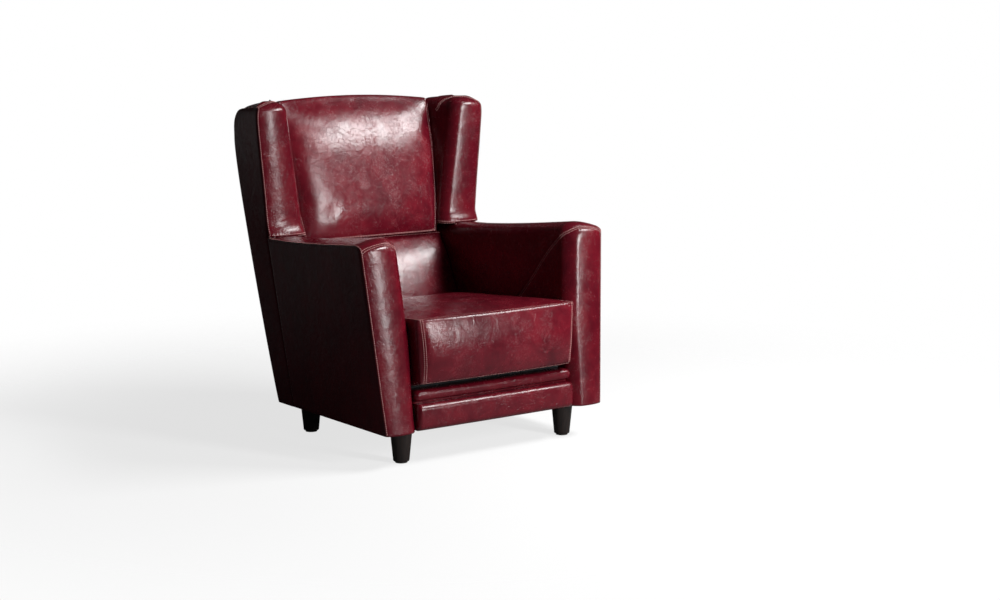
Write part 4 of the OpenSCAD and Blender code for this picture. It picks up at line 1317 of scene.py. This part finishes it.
def network(scale, width, patches, low, high):
    """Thin lines between bent cells, kept only in patches."""
    borders = node(hide, "ShaderNodeTexVoronoi", {"Vector": bent, "Scale": scale},
                   feature="DISTANCE_TO_EDGE").outputs[0]
    kept = ramp(hide, noise_of(hide, where, patches, 2.0), low, high)
    return times(hide, times(hide, ramp(hide, borders, width, 0.0), kept), asked["Creases"])


crease = network(7.0, 0.020, 6.0, 0.52, 0.62)
veins = network(34.0, 0.055, 11.0, 0.50, 0.64)
colour = blend(hide, times(hide, crease, 0.55), colour, asked["Bright"])
colour = blend(hide, times(hide, veins, 0.22), colour, asked["Bright"])
print("with creases and veins:", len(hide.nodes), "nodes")

# %% [markdown]
# Beside a seam the hide is darker, and it puckers once for every two stitches. Both read the
# attributes that the seams left in the mesh.

# %% Leather group: seams
PUCKER_PITCH = 0.011
near = node(hide, "ShaderNodeAttribute", attribute_name="seam_near").outputs["Fac"]
run = node(hide, "ShaderNodeAttribute", attribute_name="seam_run").outputs["Fac"]
wave = maths(hide, "SINE", times(hide, run, 2 * math.pi / PUCKER_PITCH))
dark = times(hide, maths(hide, "POWER", near, 6.0), 0.35)
hide.links.new(blend(hide, dark, colour, asked["Deep"]), given["Color"])
print("with seams:", len(hide.nodes), "nodes")

# %% [markdown]
# The polish is uneven: duller in patches and on the veins. The height carries the pebbled
# grain, fine wrinkles, slow waves, the creases and the pucker, and each leather sends it
# through a bump of about a millimetre.

# %% Leather group: polish and grain
UNEVEN = 0.22
fine = noise_of(hide, where, 95.0, 4.0, 0.6)
# Both noises lie round 0.5, so together they would add UNEVEN, which is taken off again
polish = weighted(hide, (asked["Gloss"], 1.0), (patch, UNEVEN), (fine, UNEVEN), (veins, 0.10))
hide.links.new(maths(hide, "SUBTRACT", polish, UNEVEN, clamp=True), given["Roughness"])
pebble = node(hide, "ShaderNodeTexVoronoi", {"Vector": where, "Scale": 620.0}, feature="F1").outputs[0]
wrinkle = noise_of(hide, where, 150.0, 3.0, 0.6, 0.4)
drape = noise_of(hide, where, 26.0, 3.0, 0.55, 0.9)
height = weighted(hide, (pebble, -0.10), (wrinkle, 0.22), (drape, 0.9), (crease, -0.30), (veins, -0.12),
                  (times(hide, wave, near), 0.18))
hide.links.new(height, given["Height"])
print("leather group:", len(hide.nodes), "nodes")

# %% [markdown]
# Three leathers use the group: one for arms, wings and rails, a livelier one for the cushions,
# and a duller, darker one for the outsides, whose darker colours are painted shade.


# %% Leathers
COAT_ROUGH = 0.20


def material(name):
    made = bpy.data.materials.new(name)
    made.use_nodes = True
    return made, made.node_tree, made.node_tree.nodes["Principled BSDF"].inputs


def leather(name, deep, body, bright, mottle=0.42, creases=1.0, gloss=0.235, specular=0.42, coat=0.03):
    made, tree, shader = material(name)
    skin = node(tree, "ShaderNodeGroup", node_tree=hide)
    for key, value in (("Deep", (*deep, 1)), ("Body", (*body, 1)), ("Bright", (*bright, 1)),
                       ("Mottle", mottle), ("Creases", creases), ("Gloss", gloss)):
        skin.inputs[key].default_value = value
    bump = node(tree, "ShaderNodeBump", {"Strength": 1.0, "Distance": 0.0011,
                                         "Height": skin.outputs["Height"]})
    tree.links.new(skin.outputs["Color"], shader["Base Color"])
    tree.links.new(skin.outputs["Roughness"], shader["Roughness"])
    tree.links.new(bump.outputs[0], shader["Normal"])
    shader["Specular IOR Level"].default_value = specular
    shader["Coat Weight"].default_value = coat
    shader["Coat Roughness"].default_value = COAT_ROUGH
    return made


DEEP, BODY, BRIGHT = (0.022, 0.0010, 0.0036), (0.096, 0.0028, 0.0092), (0.205, 0.0085, 0.0170)
body_leather = leather("burgundy_leather", DEEP, BODY, BRIGHT)
cushion_leather = leather("burgundy_cushion_leather", DEEP, (0.104, 0.0038, 0.0108),
                          (0.225, 0.0110, 0.0220), mottle=0.50, creases=1.5)
# The outsides' colours are painted shade: a darker, shaded copy of the burgundy, so the outsides read near
# black
shaded_outer_leather = leather("burgundy_leather_painted_shade", (0.016, 0.0008, 0.0026), (0.060, 0.0020, 0.0064),
                        (0.120, 0.0050, 0.0110), creases=0.3, gloss=0.46, specular=0.16, coat=0.0)
print("leathers:", body_leather.name, cushion_leather.name, shaded_outer_leather.name)

# %% [markdown]
# Thread, wood, steel, foam and cloth each have a smaller shader of their own: fibres along
# the grain for the wood, a weave for the cloths, open cells for the foam.


# %% Other finishes
def patterned(tree, pattern, where, scale):
    """The value of a weave, of open cells or of plain noise."""
    if pattern == "weave":
        warp, weft = [node(tree, "ShaderNodeTexWave", {"Vector": where, "Scale": scale, "Distortion": 0.4,
                                                       "Detail": 1.0}, bands_direction=way).outputs["Fac"]
                      for way in "XY"]
        return maths(tree, "MAXIMUM", warp, weft)
    if pattern == "cells":
        return node(tree, "ShaderNodeTexVoronoi", {"Vector": where, "Scale": scale}).outputs[0]
    return noise_of(tree, where, scale, 4.0, 0.6, 0.5)


def tinted(name, low, high, scale, stretch=(1, 1, 1), rough=0.5, metallic=0.0, depth=0.0004,
           pattern="noise", specular=0.5):
    """A finish between two colours, by a pattern and by broad patches of wear."""
    made, tree, shader = material(name)
    where = node(tree, "ShaderNodeMapping", {"Vector": place_of(tree), "Scale": stretch}).outputs[0]
    value = patterned(tree, pattern, where, scale)
    worn = ramp(tree, noise_of(tree, place_of(tree), 14.0, 3.0), 0.45, 0.7)
    colour = blend(tree, ramp(tree, value, 0.3, 0.75), (*low, 1), (*high, 1))
    colour = blend(tree, times(tree, worn, 0.35), colour, (*low, 1))
    tree.links.new(colour, shader["Base Color"])
    duller = maths(tree, "ADD", times(tree, value, 0.18), rough - 0.09, clamp=True)
    tree.links.new(duller, shader["Roughness"])
    bump = node(tree, "ShaderNodeBump", {"Distance": depth, "Height": value})
    tree.links.new(bump.outputs[0], shader["Normal"])
    shader["Metallic"].default_value = metallic
    shader["Specular IOR Level"].default_value = specular
    return made


thread = tinted("rose_thread", (0.50, 0.20, 0.20), (0.76, 0.44, 0.42), 900.0, rough=0.62, depth=0.0001)
walnut = tinted("dark_walnut", (0.006, 0.0035, 0.003), (0.022, 0.011, 0.008), 30.0, stretch=(9, 9, 0.7),
                rough=0.36, depth=0.0003)
raw_wood = tinted("raw_hardwood", (0.42, 0.27, 0.13), (0.62, 0.45, 0.25), 16.0, stretch=(1, 7, 7),
                  rough=0.62)
steel = tinted("spring_steel", (0.30, 0.31, 0.32), (0.50, 0.51, 0.52), 60.0, rough=0.35, metallic=1.0,
               depth=0.0001)
webbing = tinted("black_webbing", (0.010, 0.010, 0.011), (0.045, 0.045, 0.047), 520.0, rough=0.8,
                 pattern="weave", depth=0.0005, specular=0.2)
cloth = tinted("black_cloth", (0.012, 0.012, 0.013), (0.040, 0.040, 0.043), 700.0, rough=0.85,
               pattern="weave", depth=0.0003, specular=0.2)
felt = tinted("felt", (0.05, 0.045, 0.04), (0.11, 0.10, 0.09), 380.0, rough=0.95, specular=0.1)
foam = tinted("foam", (0.58, 0.50, 0.30), (0.78, 0.72, 0.50), 420.0, rough=0.9, pattern="cells",
              specular=0.2)
others = [thread, walnut, raw_wood, steel, webbing, cloth, felt, foam]
print("other finishes:", [m.name for m in others])

# %% [markdown]
# The construction nodes get their finishes by name, and then the leather pieces get theirs.

# %% Finishes on the pieces
FINISH = {"leg_front": walnut, "leg_rear": walnut, "leg_bolts": steel, "leg_nuts": steel,
          "leg_glides": felt, "seat_springs": steel, "spring_clips": steel, "back_webbing": webbing,
          "arm_foam": foam, "wing_foam": foam}
for name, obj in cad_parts.items():
    chosen = next((m for key, m in FINISH.items() if name.startswith(key)), raw_wood)
    obj.data.materials.clear()
    obj.data.materials.append(foam if name.endswith("core") else chosen)
bars = [rail, roll, apron]
cushions = [seat, back, lumbar]
for finish, pieces in ((body_leather, padded_skins + bars + welts), (cushion_leather, cushions),
                       (shaded_outer_leather, outer_panels), (cloth, [deck, dust]),
                       (thread, stitches + seat_stitches)):
    for obj in pieces:
        obj.data.materials.append(finish)
print("finishes on", len(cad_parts), "nodes")

# %% [markdown]
# ## What moves
# Only the seat cushion lifts out. It rides on its own body with its stitches, and everything
# else rides on the chair. Each leather piece stands for the construction nodes that it hides.

# %% Bodies and replaced nodes
for side in ("left", "right"):
    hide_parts(f"arm_cover_{side}", f"arm_foam_{side}")
    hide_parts(f"wing_cover_{side}", f"wing_foam_{side}")
    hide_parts(f"outer_arm_panel_{side}")
    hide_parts(f"outer_wing_panel_{side}")
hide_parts("outer_back_panel")
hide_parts("back_cushion_cover", "back_cushion_core")
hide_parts("lumbar_pad_cover", "lumbar_pad_core")
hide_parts("seat_cushion_cover", "seat_cushion_core")
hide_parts("front_rail_cover")
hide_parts("deck_roll")
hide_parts("seat_deck")
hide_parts("dust_cover")
for obj in padded_skins + outer_panels + bars + [back, lumbar] + welts + stitches:
    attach(obj, "chair")
for obj in [seat] + seat_stitches:
    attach(obj, "seat_cushion")
for obj in (deck, dust):
    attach(obj, "chair")

# %% [markdown]
# ## Studio
# The chair stands on a pale floor in a white surround. The light is what the leather shows. A
# ring of even lamps would wash the shine out, so there are two: a large soft window high on
# the right front gives the broad sheen on the back, the seat and the lumbar pad, and a tall
# soft panel beside the camera draws the narrow lines on the rounded edges. The left side gets
# next to nothing, so it falls to near black as in the photograph.


# %% Lamps
LIT_POINT = (0, 0, 0.6)


def softbox(name, way, distance, size, power):
    """A soft rectangle of light at a distance from the chair, turned to it."""
    data = bpy.data.lights.new(name, "AREA")
    data.shape = "RECTANGLE"
    data.size, data.size_y = size
    data.energy = power
    obj = bpy.data.objects.new(name, data)
    obj.location = Vector(LIT_POINT) + Vector(way).normalized() * distance
    obj.rotation_euler = (Vector(LIT_POINT) - obj.location).to_track_quat("-Z", "Y").to_euler()
    scene.collection.objects.link(obj)
    return obj


window = softbox("window_light", (0.53, -0.47, 0.625), 3.2, (1.6, 0.52), 105)
screen = softbox("panel_light", (0.26, -0.96, 0.19), 4.4, (0.6, 1.75), 140)
print("lamps at", [[round(x, 2) for x in lamp.location] for lamp in (window, screen)])

# %% [markdown]
# The world is white to the camera and dim to the leather. Shiny edges mirror a white wall, but
# only low down behind the chair, where a real backdrop would stand.

# %% World
WALL_WAY, WALL_FROM, WALL_WHOLE = (0.60, 0.80, 0.0), 0.55, 0.95
WALL_TOP, WALL_FOOT, DIM = 0.08, -0.04, 0.05
world = bpy.data.worlds.new("studio")
scene.world = world
world.use_nodes = True
sky = world.node_tree
ray = node(sky, "ShaderNodeLightPath").outputs
way = node(sky, "ShaderNodeTexCoord").outputs["Generated"]
behind = node(sky, "ShaderNodeVectorMath", {0: way, 1: WALL_WAY}, operation="DOT_PRODUCT").outputs["Value"]
height = node(sky, "ShaderNodeSeparateXYZ", {0: way}).outputs["Z"]
wall = times(sky, ramp(sky, behind, WALL_FROM, WALL_WHOLE), ramp(sky, height, WALL_TOP, WALL_FOOT))
seen = maths(sky, "MAXIMUM", ray["Is Camera Ray"], ray["Is Transmission Ray"])
level = maths(sky, "MAXIMUM", seen, times(sky, ray["Is Glossy Ray"], wall))
background = sky.nodes["Background"].inputs
background["Color"].default_value = (1, 1, 1, 1)
sky.links.new(maths(sky, "MAXIMUM", level, DIM), background["Strength"])
print("world:", len(sky.nodes), "nodes")

# %% [markdown]
# The floor is a pale disc. It glows for the camera alone, so it looks white without lighting
# the chair from below, keeps the chair's shadow, and fades out towards its rim.

# %% Floor
FLOOR_R, FADE_FROM, FADE_TO = 2.6, 0.8, 2.5
FLOOR_GREY, FLOOR_GLOW = (0.26, 0.26, 0.26, 1), (0.74, 0.74, 0.74, 1)
floor_bm = bmesh.new()
bmesh.ops.create_circle(floor_bm, cap_ends=True, cap_tris=False, segments=96, radius=FLOOR_R)
floor = piece("floor", floor_bm, smooth=False)
floor_paint, ground, shader = material("pale_floor")
ray = node(ground, "ShaderNodeLightPath").outputs
glow = blend(ground, ray["Is Camera Ray"], (0, 0, 0, 1), FLOOR_GLOW)
ground.links.new(glow, shader["Emission Color"])
reach = node(ground, "ShaderNodeVectorMath", {0: place_of(ground)}, operation="LENGTH").outputs["Value"]
ground.links.new(ramp(ground, reach, FADE_TO, FADE_FROM), shader["Alpha"])
shader["Base Color"].default_value = FLOOR_GREY
shader["Emission Strength"].default_value = 1.0
shader["Roughness"].default_value = 0.9
shader["Specular IOR Level"].default_value = 0.0
floor.data.materials.append(floor_paint)
scene.view_settings.view_transform = "Standard"
print("floor:", round(2 * FLOOR_R, 1), "m across")

# %% [markdown]
# ## Finish

# %% Finish
bpy.context.view_layer.update()
